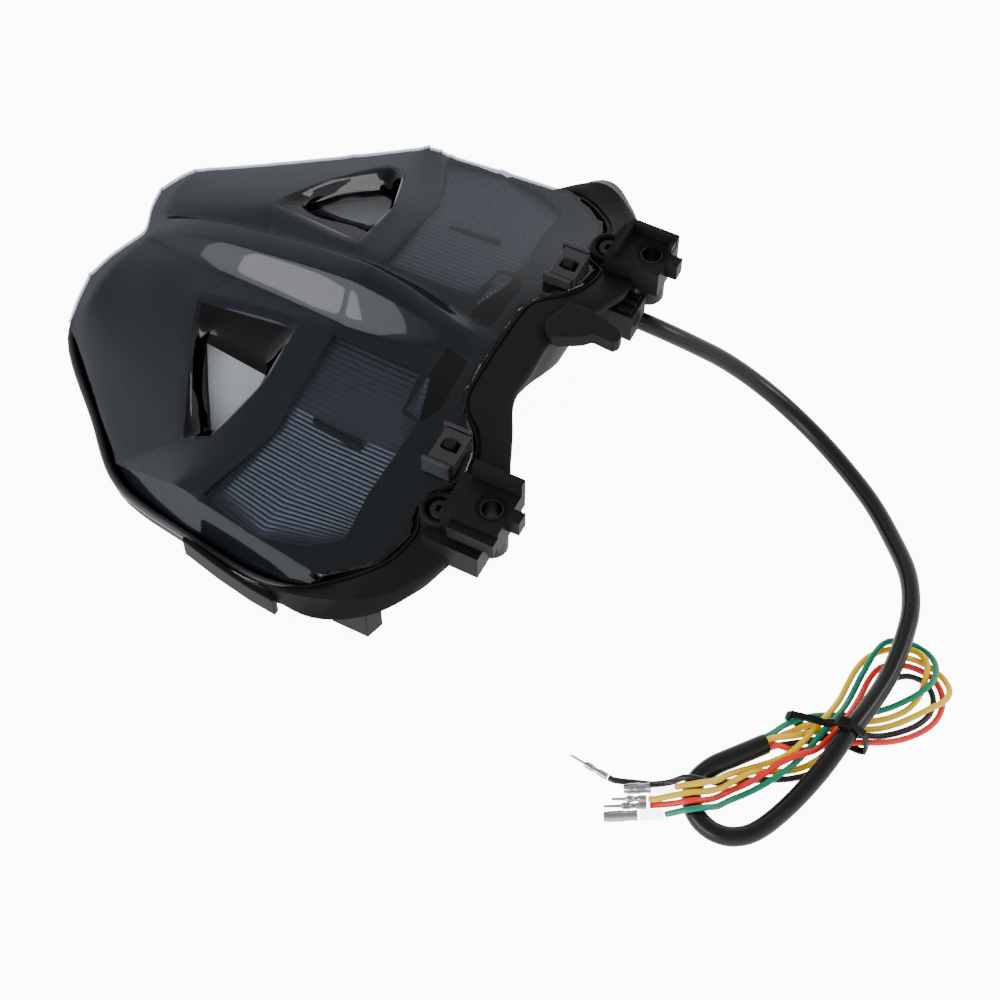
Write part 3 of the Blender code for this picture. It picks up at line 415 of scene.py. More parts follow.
CABLE_RADIUS = 3.2
WIRE_RADIUS = 1.05
SWELL = 0.05                   # how much the sleeve widens where the wires fan out inside it
SWELL_START, SWELL_LENGTH = 0.86, 0.06
CABLE_ROUTE = [
    (-46.5, 87.1, 47.0), (-46.8, 91.0, 46.5), (-48.8, 97.0, 43.4), (-53.0, 105.0, 37.0),
    (-59.0, 116.0, 27.0), (-63.0, 130.0, 15.5), (-61.5, 146.0, 7.5), (-55.0, 162.0, 4.2),
    (-43.5, 180.0, 3.4), (-31.0, 193.0, 4.6), (-18.5, 203.0, 7.0), (-5.0, 209.0, 8.4),
    (9.0, 211.3, 8.6), (23.0, 211.8, 8.9), (37.0, 210.3, 9.8), (50.0, 207.8, 10.0),
    (64.0, 205.0, 6.8), (78.0, 200.6, 3.8), (90.2, 195.3, 3.4), (96.0, 189.6, 3.4),
    (97.6, 183.0, 3.4), (95.6, 176.6, 3.4), (90.8, 172.1, 3.4), (84.2, 170.6, 3.4),
    (76.9, 173.2, 3.4), (69.2, 179.0, 3.4), (61.5, 185.1, 3.4),
]
WIRE_ROUTES = {
    "wire_yellow_a": [
        (60.4, 184.4, 1.8), (58.4, 186.0, 1.8), (54.0, 190.0, 2.5), (49.4, 193.9, 3.0),
        (45.4, 198.4, 2.9), (42.2, 203.5, 2.1), (39.2, 208.7, 1.3), (35.9, 213.7, 1.2),
        (31.8, 218.2, 1.2), (26.8, 221.6, 1.2), (21.1, 223.1, 1.8), (15.4, 222.7, 3.9),
        (9.7, 221.1, 4.2), (6.2, 216.7, 2.6), (6.8, 211.0, 1.2), (10.2, 206.0, 1.2),
        (15.1, 202.4, 1.2), (20.9, 200.8, 1.2), (26.9, 200.4, 1.2), (33.0, 200.3, 1.5),
        (38.6, 199.9, 3.5), (44.3, 198.9, 5.2), (50.2, 197.4, 5.9), (56.0, 195.8, 5.2),
        (61.4, 193.5, 4.2), (65.5, 189.6, 2.1), (69.5, 185.2, 1.2), (74.0, 181.3, 2.4),
        (78.6, 178.5, 4.9), (83.3, 176.7, 8.2), (87.3, 172.7, 9.8), (89.5, 167.8, 7.2),
        (90.0, 166.2, 5.8),
    ],
    "wire_yellow_b": [
        (61.2, 185.3, 5.7), (59.3, 187.0, 5.6), (55.5, 191.5, 4.2), (51.4, 195.7, 3.2),
        (47.5, 200.3, 3.0), (44.2, 205.3, 2.9), (41.5, 210.6, 1.9), (38.2, 215.5, 1.2),
        (34.1, 220.0, 1.3), (29.8, 224.0, 2.4), (25.4, 227.7, 3.9), (20.4, 231.1, 4.0),
        (14.9, 231.3, 2.4), (10.6, 227.4, 1.2), (8.8, 221.8, 1.2), (9.0, 215.8, 1.8),
        (12.2, 211.4, 3.9), (17.8, 209.4, 3.1), (23.5, 208.8, 1.4), (29.4, 208.6, 1.8),
        (35.1, 208.3, 3.9), (41.0, 207.9, 4.8), (46.8, 206.8, 5.7), (52.6, 205.3, 5.1),
        (57.5, 202.8, 2.8), (62.2, 199.4, 1.3), (66.2, 195.0, 1.2), (69.3, 189.8, 1.5),
        (72.7, 185.2, 3.2), (77.7, 182.0, 3.9), (82.8, 179.1, 4.5), (87.2, 175.8, 6.9),
        (90.9, 171.4, 8.5), (94.0, 166.5, 7.2), (96.4, 161.8, 4.6), (96.8, 160.0, 3.9),
    ],
    "wire_green": [
        (60.0, 183.8, 4.2), (57.9, 185.4, 4.2), (52.5, 187.9, 3.4), (47.8, 191.5, 3.0),
        (43.9, 195.9, 2.8), (40.6, 200.8, 1.6), (37.6, 206.0, 1.2), (34.1, 210.9, 1.2),
        (30.1, 215.3, 1.3), (25.9, 219.3, 2.5), (21.6, 222.9, 4.6), (16.2, 225.2, 5.2),
        (10.3, 224.5, 4.4), (5.7, 221.3, 2.6), (3.4, 216.0, 1.3), (4.2, 210.2, 1.8),
        (7.9, 206.0, 3.4), (13.6, 204.2, 3.9), (19.4, 203.6, 2.5), (25.2, 203.2, 1.4),
        (31.2, 203.1, 1.3), (36.9, 202.8, 2.9), (42.5, 202.0, 5.2), (48.2, 200.8, 5.9),
        (53.9, 199.2, 5.2), (59.5, 197.6, 3.5), (65.2, 195.8, 3.9), (70.5, 193.2, 4.0),
        (75.3, 190.0, 2.5), (79.8, 186.3, 1.2), (84.5, 182.6, 1.4), (89.3, 180.3, 3.9),
        (93.1, 177.6, 7.7), (96.4, 173.0, 7.8), (98.3, 168.5, 4.4), (98.8, 167.0, 3.1),
    ],
    "wire_red": [
        (62.4, 186.9, 4.2), (60.6, 188.6, 4.2), (58.7, 194.0, 2.1), (55.5, 199.1, 1.9),
        (51.7, 203.8, 2.9), (48.5, 209.0, 3.0), (45.6, 214.4, 3.0), (42.3, 219.5, 2.2),
        (38.3, 224.0, 1.3), (33.6, 228.0, 1.2), (28.2, 230.8, 1.2), (22.2, 231.4, 1.2),
        (16.5, 229.3, 1.2), (12.5, 224.7, 1.2), (11.5, 218.7, 1.2), (12.8, 212.8, 1.2),
        (16.3, 207.9, 1.2), (22.1, 206.1, 1.2), (28.2, 205.9, 1.3), (34.1, 205.7, 2.8),
        (39.9, 205.2, 4.7), (45.9, 204.2, 5.8), (51.8, 202.7, 5.6), (57.5, 200.5, 5.9),
        (61.9, 196.3, 6.2), (66.3, 192.3, 5.0), (71.6, 189.3, 4.2), (76.6, 185.9, 3.2),
        (80.7, 181.8, 1.3), (85.7, 178.8, 2.6), (90.0, 176.7, 6.5), (93.5, 172.5, 8.3),
        (95.4, 167.7, 5.2), (97.0, 162.6, 2.2), (97.8, 160.8, 1.8),
    ],
    "wire_black": [
        (61.9, 186.3, 1.8), (60.0, 188.0, 1.8), (56.3, 192.7, 1.6), (53.2, 197.8, 2.8),
        (49.2, 202.5, 3.0), (46.0, 207.7, 3.0), (43.2, 213.1, 2.5), (39.9, 218.1, 1.4),
        (35.8, 222.6, 1.2), (31.0, 226.4, 1.2), (25.3, 228.5, 1.2), (19.4, 227.4, 1.2),
        (15.3, 223.0, 1.2), (15.4, 217.0, 1.2), (19.5, 212.7, 1.2), (25.4, 211.5, 1.5),
        (31.3, 211.2, 3.4), (37.3, 211.0, 4.2), (43.3, 210.4, 5.1), (49.3, 209.4, 5.5),
        (54.5, 207.3, 3.1), (59.7, 204.6, 1.4), (64.6, 201.0, 1.2), (68.6, 196.4, 1.2),
        (71.7, 191.1, 1.2), (74.6, 185.7, 1.2), (77.9, 180.6, 1.3), (81.7, 176.7, 3.8),
        (84.6, 173.2, 7.8), (86.3, 167.7, 7.5), (87.9, 163.6, 3.2), (90.4, 158.5, 1.3),
        (92.6, 152.8, 1.2), (94.8, 147.1, 1.4), (94.8, 144.9, 1.4),
    ],
}


def tube(name, points, radius, mat, resolution, swell=None):
    """A round cord along the points; swell gives a share of the radius at a share of the length."""
    curve = bpy.data.curves.new(name, 'CURVE')
    curve.dimensions = '3D'
    curve.bevel_depth = radius * MM
    curve.bevel_resolution = resolution
    curve.use_fill_caps = True
    spline = curve.splines.new('POLY')
    spline.points.add(len(points) - 1)
    for i, point in enumerate(points):
        spline.points[i].co = (*(point * MM), 1)
        spline.points[i].radius = swell(i / (len(points) - 1)) if swell else 1.0
    spline.use_smooth = True
    curve.materials.append(mat)
    obj = bpy.data.objects.new(name, curve)
    SCENE.collection.objects.link(obj)
    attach(obj, "root")
    return obj


# Shares of the length and radii: a bare pin with a crimped barrel, a bullet with a rolled rear rim,
# and the clear sleeve that slides over a bullet's barrel.
PIN_PROFILE = [
    (0, 0), (0.01, 0.28), (0.04, 0.42), (0.36, 0.46), (0.42, 0.62), (0.46, 1.05), (0.5, 1.15), (0.6, 1.15),
    (0.62, 1.02), (0.65, 0.82), (0.75, 0.82), (0.78, 1.02), (0.8, 1.15), (0.98, 1.15), (1, 1.08), (1, 0),
]
BULLET_PROFILE = [
    (0.2, 0), (0.2, 1.05), (0.02, 1.15), (0, 1.3), (0.01, 1.5), (0.06, 1.62), (0.2, 1.78), (0.3, 1.8),
    (0.42, 1.72), (0.46, 1.8), (0.6, 1.8), (0.64, 1.6), (0.88, 1.6), (0.94, 1.72), (1, 1.75), (1, 0),
]
SLEEVE_PROFILE = [
    (0, 0), (0.01, 1.62), (0.04, 1.75), (0.7, 1.74), (0.85, 1.68), (0.96, 1.5), (1, 1.4), (1, 0),
]
TERMINALS = {
    "pin_black": ((93.2, 130.2, 1.35), (94.8, 144.3, 1.35), PIN_PROFILE, TIN),
    "pin_red": ((104.8, 147.6, 1.3), (98.2, 159.9, 1.5), PIN_PROFILE, TIN),
    "pin_yellow_b": ((102.4, 149.2, 3.6), (97.1, 159.2, 3.8), PIN_PROFILE, TIN),
    "bullet_yellow_a": ((96.5, 151.1, 2.1), (93.1, 158.8, 3.9), BULLET_PROFILE, TIN),
    "bullet_green": ((108.3, 149.5, 1.95), (103.1, 158.9, 2.5), BULLET_PROFILE, TIN),
    "sleeve_yellow_a": ((92.9, 159.2, 4), (90.2, 165.4, 5.4), SLEEVE_PROFILE, CLEAR_SLEEVE),
    "sleeve_green": ((102.8, 159.4, 2.5), (99.1, 166.1, 3), SLEEVE_PROFILE, CLEAR_SLEEVE),
}
# The tie's locking head sits on the lead, with the cut tail beside it: two corners, the point
# that the piece tilts about, the tilt in degrees and the rounding of its edges.
TIE_X = 48.5
TIE_PARTS = {
    "tie_head": ((TIE_X - 1.9, 203.9, 12.6), (TIE_X + 1.9, 208.4, 15.4), (TIE_X, 206, 14), 19, 0.6),
    "tie_tail": ((TIE_X - 0.9, 199.4, 12.2), (TIE_X + 0.9, 204.6, 13.1), (TIE_X, 204, 12.6), 31, 0.3),
}

for node, (start, end, profile, mat) in TERMINALS.items():
    turned_along(node + "_shaped", start, end, profile, mat)
    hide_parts(node)


def swelling(share):
    """The share of the sleeve's radius at a share of its length."""
    return 1.0 + SWELL * max(0.0, min(1.0, (share - SWELL_START) / SWELL_LENGTH))


def tie_part(name, low, high, centre, tilt, width):
    """A small block of the tie, tilted to lie along the band."""
    bm = box_mesh(low, high)
    turn = Matrix.Rotation(math.radians(tilt), 3, 'X')
    bmesh.ops.rotate(bm, cent=centre, matrix=turn, verts=bm.verts[:])
    piece = bevel(add_object(name, bm, TIE, angle=60), width)
    return piece


tie_pieces = [tie_part(name, *sizes) for name, sizes in TIE_PARTS.items()]
cable_line = catmull(CABLE_ROUTE, 6)
cable = tube("lead_sleeve", cable_line, CABLE_RADIUS, VINYL, 8, swelling)
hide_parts("cable")
for node, route in WIRE_ROUTES.items():
    line = catmull(route, 5)
    wire = tube(node + "_coat", line, WIRE_RADIUS, WIRE_COATS[node], 5)
    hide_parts(node)


# ---------------------------------------------------------------- lens

# One side of the parting line between lens and housing, from the front to the rear.
PARTING = [
    (0, 53.5, 64.6), (19, 54, 64.2), (27, 57, 63.6), (33, 63.5, 63.2), (40, 67.5, 62.3),
    (50, 68.5, 60.1), (54.5, 62.5, 58.2), (62, 59, 55), (70, 61, 52), (82, 55.5, 47.4),
    (94, 38, 40), (95.5, 16, 28.6), (90, -15, 24.5), (82.5, -47, 23), (64.5, -68.5, 27),
    (43, -91.5, 32.5), (23, -95, 35.5), (12, -91.5, 37.5), (0, -86, 40),
]
# Rows of eight points from the tip to the front: spine top, spine edge, spine foot,
# window inner, middle and outer, crease, foot of the side wall.
LENS_ROWS = [
    [(0, -85.5, 38), (3, -86.3, 38), (6, -87.8, 37.5), (12.5, -91.3, 35.5), (23, -94.5, 33.5),
     (34, -93.5, 31.5), (39, -92.4, 30.7), (43, -90.8, 30.3)],
    [(0, -86.5, 50.5), (3, -87.3, 50.5), (6, -88.8, 50), (13, -92.5, 48.5), (23, -95.3, 46.3),
     (34, -94.3, 43.3), (41, -92.5, 41), (45.5, -88.5, 29.8)],
    [(0, -80, 56.5), (3.5, -80.3, 56), (6.5, -81, 55), (13, -84, 54.5), (23, -86.5, 52.5),
     (35.5, -87, 49.5), (46, -86.5, 39.8), (48.5, -84.5, 29.3)],
    [(0, -66, 64.5), (4, -66, 64), (8.5, -66, 58.5), (18, -68, 59), (34, -66, 55),
     (50, -63, 47.5), (61, -69.5, 37), (63.5, -68, 25.8)],
    [(0, -42, 70.6), (4.5, -42, 70.3), (11, -43, 62), (23.5, -47, 62), (47, -36, 57.5),
     (70, -25, 49), (80.7, -48, 33.3), (82, -46.5, 20.8)],
    [(0, -8, 76), (4.5, -8, 75.6), (13.5, -8, 64), (18.5, -9, 64.2), (44, -8, 60.6),
     (67, -16.5, 51.5), (86.3, -17.5, 47.6), (89.5, -15, 22.3)],
    [(0, 2, 76.6), (4.5, 2, 76.2), (14, 2, 64.2), (20, 2.3, 64.2), (45, 2.5, 59.8),
     (67.5, -2.5, 52.2), (86.9, -13, 47.3), (90, -11, 22.9)],
    [(0, 5.5, 76.6), (4.5, 5.5, 76.2), (14, 5.5, 63.5), (20, 5.5, 63.3), (45, 5.5, 58.7),
     (68, 1, 51), (87.3, -9.5, 45.8), (90.5, -7.5, 23.5)],
    [(0, 19, 74.6), (4.5, 19, 74), (12.5, 20, 63.9), (22, 20, 63.3), (46, 20, 58.3),
     (69, 17, 51), (90, 11, 44.8), (93.6, 12, 26.2)],
    [(0, 33, 69.3), (3.5, 33, 68.8), (8.5, 34, 64.4), (24, 36, 63.8), (46, 37, 58.2),
     (69, 36, 50.5), (93, 38, 43.3), (95, 37, 38)],
    [(0, 43, 64.9), (2.2, 43.5, 64.9), (5, 44, 64.6), (25, 47, 64.1), (46, 48, 59.6),
     (68, 47, 51.2), (91, 44, 43.6), (94, 43.5, 40)],
    [(0, 62, 64.2), (4, 62, 64.2), (9, 62, 64.2), (29, 70, 64.2), (47, 78, 62.4),
     (67, 74, 54), (87, 62, 45), (91, 61, 43)],
]
LAST_ROW = len(LENS_ROWS) - 1
SPINE_EDGE, SPINE_FOOT, WINDOW_INNER, WINDOW_MIDDLE, WINDOW_OUTER, CREASE, WALL_FOOT = range(1, 8)
WINDOW_REAR, WINDOW_FRONT = 4, 5
SHARP, FIRM, HELD, SOFT, FAINT = 1.0, 0.9, 0.85, 0.7, 0.6
# The creases that run across the lens, by row.
CROSS_CREASES = {0: SHARP, 1: FIRM, 2: SOFT, 6: FAINT, 7: FAINT}
REAR, SPINE, FRAME, FRONT, WALL = range(5)
PAINTED_REFLECTION_SLOT = 3                 # slot of the window floor's paler sheet on the lens, a painted reflection
WINDOW_FLOOR = [
    (32.5, -40, 55.5), (47, -31, 51.5), (61.5, -21.5, 45.5),
    (60.5, -18.5, 45.8), (45, -11.5, 52.5), (35.5, -12, 55.5),
]


def crease_edges(bm, layer, verts, value):
    """Crease the edges between neighbours in a row of vertices."""
    for first, second in zip(verts, verts[1:]):
        edge = bm.edges.get((first, second))
        if edge:
            edge[layer] = value


def bezel_region(row, band):
    """Which painted shade a face of the bezel has, by its row and its place across from the middle."""
    if band >= CREASE:
        return WALL
    if band <= SPINE_EDGE:
        return SPINE
    if row <= 3:
        return REAR
    return FRAME if row <= 6 else FRONT


def cage_grid(bm):
    """The rows of vertices on both sides, each row by place: 0 in the middle, minus on the right."""
    grid = []
    for row in LENS_ROWS:
        line = {}
        for k, (x, y, z) in enumerate(row):
            line[k] = bm.verts.new((x, y, z))
            if k:
                line[-k] = bm.verts.new((-x, y, z))
        grid.append(line)
    return grid


def sink_window(bm, rim, side):
    """Walls and a two-part floor inside the window's rim, the floor painted paler as a reflection; gives
    the floor's corners.
    """
    deep = [bm.verts.new((side * x, y, z)) for x, y, z in WINDOW_FLOOR]
    for i in range(6):
        j = (i + 1) % 6
        bm.faces.new((rim[i], rim[j], deep[j], deep[i]))
    for quad in ((0, 1, 4, 5), (1, 2, 3, 4)):
        bm.faces.new([deep[k] for k in quad]).material_index = PAINTED_REFLECTION_SLOT
    return deep


def lens_cage(sunk=True):
    """The control cage of the lens, with creases, and with sunk windows unless it is the bezel's."""
    bm = bmesh.new()
    crease = bm.edges.layers.float.new('crease_edge')
    corner = bm.verts.layers.float.new('crease_vert')
    grid = cage_grid(bm)
    for r in range(LAST_ROW):
        for c in range(-WALL_FOOT, WALL_FOOT):
            band, outer = sorted((abs(c), abs(c + 1)))
            if sunk and r == WINDOW_REAR and band >= WINDOW_INNER and outer <= WINDOW_OUTER:
                continue
            face = bm.faces.new((grid[r][c], grid[r][c + 1], grid[r + 1][c + 1], grid[r + 1][c]))
            if not sunk:
                face.material_index = bezel_region(r, band)
    for side in (-1, 1):
        for line in grid:
            line[CREASE * side][corner] = SHARP
            line[WALL_FOOT * side][corner] = SHARP
        for r in (1, 2):
            grid[r][WINDOW_MIDDLE * side][corner] = SHARP
        rear, front = grid[WINDOW_REAR], grid[WINDOW_FRONT]
        across = (WINDOW_INNER * side, WINDOW_MIDDLE * side, WINDOW_OUTER * side)
        rim = [rear[c] for c in across] + [front[c] for c in reversed(across)]
        deep = sink_window(bm, rim, side) if sunk else []
        crease_edges(bm, crease, deep + deep[:1], FIRM)
        crease_edges(bm, crease, rim + rim[:1], FIRM)
        for vert in rim + deep:
            vert[corner] = HELD
        crease_edges(bm, crease, [line[CREASE * side] for line in grid[1:]], FIRM)
        crease_edges(bm, crease, [line[WALL_FOOT * side] for line in grid[1:]], SHARP)
        crease_edges(bm, crease, [line[SPINE_EDGE * side] for line in grid[2:LAST_ROW]], HELD)
        crease_edges(bm, crease, [line[SPINE_FOOT * side] for line in grid[2:LAST_ROW]], HELD)
        crease_edges(bm, crease, [rear[WINDOW_OUTER * side], rear[CREASE * side]], FIRM)
    for r, value in CROSS_CREASES.items():
        crease_edges(bm, crease, [grid[r][c] for c in range(-CREASE, CREASE + 1)], value)
    return bm


def subdivide(obj, levels):
    """Smooth a control cage."""
    mod = obj.modifiers.new("Subdivision", 'SUBSURF')
    mod.levels = levels
    mod.render_levels = levels


def thicken(obj, thickness, offset=-1):
    """Give a sheet a wall; an offset of -1 keeps the outer face where it is."""
    mod = obj.modifiers.new("Wall", 'SOLIDIFY')
    mod.thickness = thickness * MM
    mod.offset = offset
    return mod


TRIM_SIDE = 120                # half width of the trimming prism, past the lens on both sides
TRIM_REAR = -110
TRIM_HEIGHT = 100
TRIM_CORNER = 37.5             # where the trim's straight sides meet the front's parting line
FRONT_POINTS = 11              # points of the parting line along the front
BEZEL_SHARE = 0.993            # the bezel's width beside the lens's
BEZEL_DROP = 1.1
LENS_WALL, BEZEL_WALL_SIZE, PANEL_WALL = 0.4, 0.8, 1.2

near_line = [(x, y) for x, y, z in PARTING[:FRONT_POINTS]]
far_line = [(-x, y) for x, y in near_line[1:]]
TRIM = [(-TRIM_SIDE, TRIM_REAR), (TRIM_SIDE, TRIM_REAR), (TRIM_SIDE, TRIM_CORNER),
        *near_line[::-1], *far_line, (-TRIM_SIDE, TRIM_CORNER)]
BEZEL_TRIM = [(x * 0.985, y - 1.2 if y > 30 else y) for x, y in TRIM]
RIB_FIELD = [
    (18, 3), (57, 2.5), (84, -9.5), (88, 3), (90, 13), (86, 30), (79, 41), (63, 41),
    (36, 45), (34.5, 38), (18.5, 36.5),
]
PIT_FIELD = [(6, 40), (33, 38.5), (34.8, 46), (29, 49.5), (8, 48.5)]
WINDOW_FIELD = [(25, -45), (46, -37), (69, -26), (66, -17.5), (44, -9), (22, -10)]
OPENINGS = {"panel": RIB_FIELD, "pit": PIT_FIELD, "window": WINDOW_FIELD}

lens = add_object("lens_shell", lens_cage(), [SMOKED, INSIDE, SMOKED_EDGE, PAINTED_REFLECTION_SHEET, PAINTED_REFLECTION_INSIDE])
subdivide(lens, 3)
lens_wall = thicken(lens, LENS_WALL)
lens_wall.material_offset = 1
lens_wall.material_offset_rim = 2
boolean(lens, prism("lens_trim", TRIM, 0, TRIM_HEIGHT, SMOKED_EDGE), 'INTERSECT')
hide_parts("lens")

# The dark bezel follows the lens from inside and is cut away over the panels and windows.
bezel = add_object("bezel", lens_cage(sunk=False), [BEZEL, BEZEL_SPINE, BEZEL_BAR, BEZEL_FRONT, BEZEL_WALL])
bezel.scale = (BEZEL_SHARE, BEZEL_SHARE, 1)
bezel.location.z = -BEZEL_DROP * MM
subdivide(bezel, 3)
thicken(bezel, BEZEL_WALL_SIZE)
boolean(bezel, prism("bezel_trim", BEZEL_TRIM, 0, TRIM_HEIGHT, BEZEL), 'INTERSECT')
for part, outline in OPENINGS.items():
    for side in (-1, 1):
        tool = prism(f"{part}_opening_{side + 1}", sided(outline, side), 20, 90, BEZEL)
        boolean(bezel, tool, 'DIFFERENCE')
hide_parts("reflector")

# Near-black plates under the pits, a painted shade of the recess.
for label, side in reversed(SIDES):
    pit_outline = [(x * 1.02, y) for x, y in sided(PIT_FIELD, side)]
    prism("pit_floor_" + label, pit_outline, 50, 52, PIT_SHADE)

# Prismatic panels: three rows of four points, from the rear to the front, with ribs that run
# fore and aft. Four steps make up one rib.
PANEL_ROWS = [
    [(16, 1, 59.2), (45, 1, 55), (66, -2.5, 47.6), (85, -10.5, 40.8)],
    [(16.5, 20, 59.2), (46, 20, 54), (67, 17, 46.6), (89.5, 12, 38.6)],
    [(17, 39, 59.2), (46, 47, 53.9), (67, 44, 46.4), (82, 43, 40.4)],
]
RIBS = 43
RIB_PROFILE = (0.0, 0.42, 0.6, 0.42)
PANEL_STEPS = 12
LIGHT_PIPE = [(46.4, 11.5), (48.4, 12), (50.4, 30.5), (48.6, 31.5)]


def along(points, share):
    """The point at a share, from 0 to 1, of a row of evenly counted points."""
    place = share * (len(points) - 1)
    i = min(int(place), len(points) - 2)
    return Vector(points[i]).lerp(Vector(points[i + 1]), place - i)


def panel_point(across, forward, side):
    """Point of the panel at two shares from 0 to 1."""
    point = along([along(row, across) for row in PANEL_ROWS], forward)
    return Vector((side * point.x, point.y, point.z))


def rib_panel(name, side):
    """One ribbed panel, with a wall under it."""
    bm = bmesh.new()
    steps = RIBS * len(RIB_PROFILE)
    lines = []
    for k in range(steps + 1):
        line = []
        for r in range(PANEL_STEPS + 1):
            point = panel_point(k / steps, r / PANEL_STEPS, side)
            point.z += RIB_PROFILE[k % len(RIB_PROFILE)]
            line.append(bm.verts.new(point))
        lines.append(line)
    for first, second in zip(lines, lines[1:]):
        for i in range(PANEL_STEPS):
            bm.faces.new((first[i], first[i + 1], second[i + 1], second[i]))
    panel = add_object(name, bm, PRISM, angle=80)
    thicken(panel, PANEL_WALL, -side)
    return panel


for label, side in SIDES:
    pipe = prism("light_pipe_" + label, sided(LIGHT_PIPE, side), 51, 55.9, BEZEL_FRONT, 0.4)
    panel = rib_panel("prism_panel_" + label, side)
    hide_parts("rib_lens_" + label)


# ---------------------------------------------------------------- housing

# One side of the housing's rings, from the front to the rear, with as many points as the parting
# line: top of the rim, its lower edge, the tuck under it and the edge of the floor.
RIM = [
    (0, 69, 63.2), (14, 69, 63.2), (27, 75, 63.2), (36, 79, 63.2), (43, 81.5, 62.6),
    (56, 80, 60), (67, 77, 55), (74, 74, 51), (81, 70.5, 48.5), (92, 62, 46.5),
    (101, 45, 44.5), (99, 16, 30.5), (92.5, -15.5, 24.5), (85, -49, 22.8), (66.5, -71, 26.5),
    (44.5, -94, 32), (23, -97.5, 35), (11, -94, 37), (0, -88.5, 39.5),
]
WAIST = [
    (0, 69, 60), (14, 69, 60), (27, 75, 60), (36, 79, 60), (43, 81.5, 59),
    (56, 80, 55), (68, 77.5, 49), (75.5, 74, 45), (83.5, 70, 42.5), (97, 60.5, 41),
    (106, 44, 40), (101.5, 16, 27), (92.5, -15, 19), (85, -48.5, 17.3), (66, -70.5, 21.2),
    (44, -93.5, 26.8), (23, -96.5, 29.8), (11, -93, 31.8), (0, -87.5, 34.3),
]
TUCK = [
    (0, 58, 56), (14, 58, 56), (27, 62, 56), (36, 69, 55.5), (43, 72, 54),
    (53, 73, 50), (62, 73, 44), (70, 70, 39), (78, 66, 36), (90, 57, 34),
    (99, 42.5, 32), (97, 16, 21), (86, -12, 14.6), (77, -41, 13), (59, -60, 16),
    (39, -80, 21), (21, -84, 23.5), (10, -82, 25.5), (0, -78, 27.5),
]
FLOOR_EDGE = [
    (0, 52, 14), (14, 52, 14), (26, 54, 14), (34, 57, 14), (41, 59, 14),
    (49, 58, 14), (56, 56, 14), (63, 53, 14), (69, 50, 14), (76, 44, 14),
    (82, 35, 14), (80, 14, 14), (72, -9, 14), (62, -31, 14), (48, -45, 14),
    (32, -57, 14), (20, -61, 14), (10, -60, 14), (0, -57, 14),
]


def full_ring(half, per=6):
    """Smooth one side of a ring and mirror it."""
    line = catmull(half, per)
    line[0].x = line[-1].x = 0
    return line + [Vector((-p.x, p.y, p.z)) for p in reversed(line[1:-1])]


def offset(half, distance):
    """Move one side of a ring outwards, level."""
    ring = [Vector(p) for p in half] + [Vector((-x, y, z)) for x, y, z in reversed(half[1:-1])]
    moved = []
    for i in range(len(half)):
        way = ring[(i + 1) % len(ring)] - ring[i - 1]
        way.z = 0
        way.normalize()
        x, y, z = half[i]
        shift = 0.0 if i in (0, len(half) - 1) else -way.y * distance
        moved.append((x + shift, y + way.x * distance, z))
    return moved


def level(half, change):
    """Raise a ring."""
    return [(x, y, z + change) for x, y, z in half]


FRONT_START, FRONT_BLEND = 14, 26


def front_share(y):
    """0 along the rear and the sides of the lamp, 1 at the front, where the grooved rim shows."""
    return max(0.0, min(1.0, (y - FRONT_START) / FRONT_BLEND))


def tucked(half, distance, lift):
    """A ring of the housing, drawn in under the lens along the rear and the sides."""
    under = level(offset(PARTING, distance), lift)
    return [tuple(Vector(rear).lerp(Vector(front), front_share(front[1])))
            for front, rear in zip(half, under)]


def rimmed(distance, lift, rear_distance, rear_lift):
    """The parting line moved out and lifted, by other amounts at the rear than at the front."""
    return tucked(level(offset(PARTING, distance), lift), rear_distance, rear_lift)


def ring_skin(name, rings, mat, close=True):
    """A skin over a stack of rings, with its two ends closed unless it is a roll."""
    bm = bmesh.new()
    loops = [[bm.verts.new(p) for p in full_ring(half)] for half in rings]
    count = len(loops[0])
    for first, second in zip(loops, loops[1:]):
        for i in range(count):
            j = (i + 1) % count
            bm.faces.new((first[i], first[j], second[j], second[i]))
    if close:
        bm.faces.new(loops[0])
        bm.faces.new(loops[-1])
        bmesh.ops.triangulate(bm, faces=[f for f in bm.faces if len(f.verts) > 4])
    return add_object(name, bm, mat, angle=50)


def between(first, second, t):
    """The ring at a share of the way from one ring to another."""
    return [tuple(Vector(p).lerp(Vector(q), t)) for p, q in zip(first, second)]


def housing_piece(piece):
    """Hide the carried housing node, which the built pieces replace; the piece is not used."""
    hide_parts("housing")


# From the floor's edge up the outside, over the rim and the groove, down the mouth and inside.
mouth = offset(PARTING, 0.5)
waist = tucked(WAIST, 0.2, -6.5)
rim = tucked(RIM, 0.9, -1.4)
tray = ring_skin("housing_tray", [
    FLOOR_EDGE, between(FLOOR_EDGE, TUCK, 0.85), TUCK, between(TUCK, waist, 0.6),
    level(waist, 0.4), level(rim, -0.6), between(level(rim, 0.1), mouth, 0.06),
    level(between(rim, mouth, 0.3), 0.05), level(between(rim, mouth, 0.55), 0.1),
    rimmed(2.2, 0.1, 0.8, -1.3), rimmed(2.0, -0.8, 0.75, -1.3), rimmed(1.3, -0.8, 0.7, -1.3),
    rimmed(1.1, 0.1, 0.6, -1.3), rimmed(0.5, 0, 0.5, -1.4), level(mouth, -5.4),
    level(offset(PARTING, -3.4), -5.4), [(x * 0.955, y * 0.955, 17) for x, y, z in FLOOR_EDGE],
], HOUSING)
housing_piece(tray)

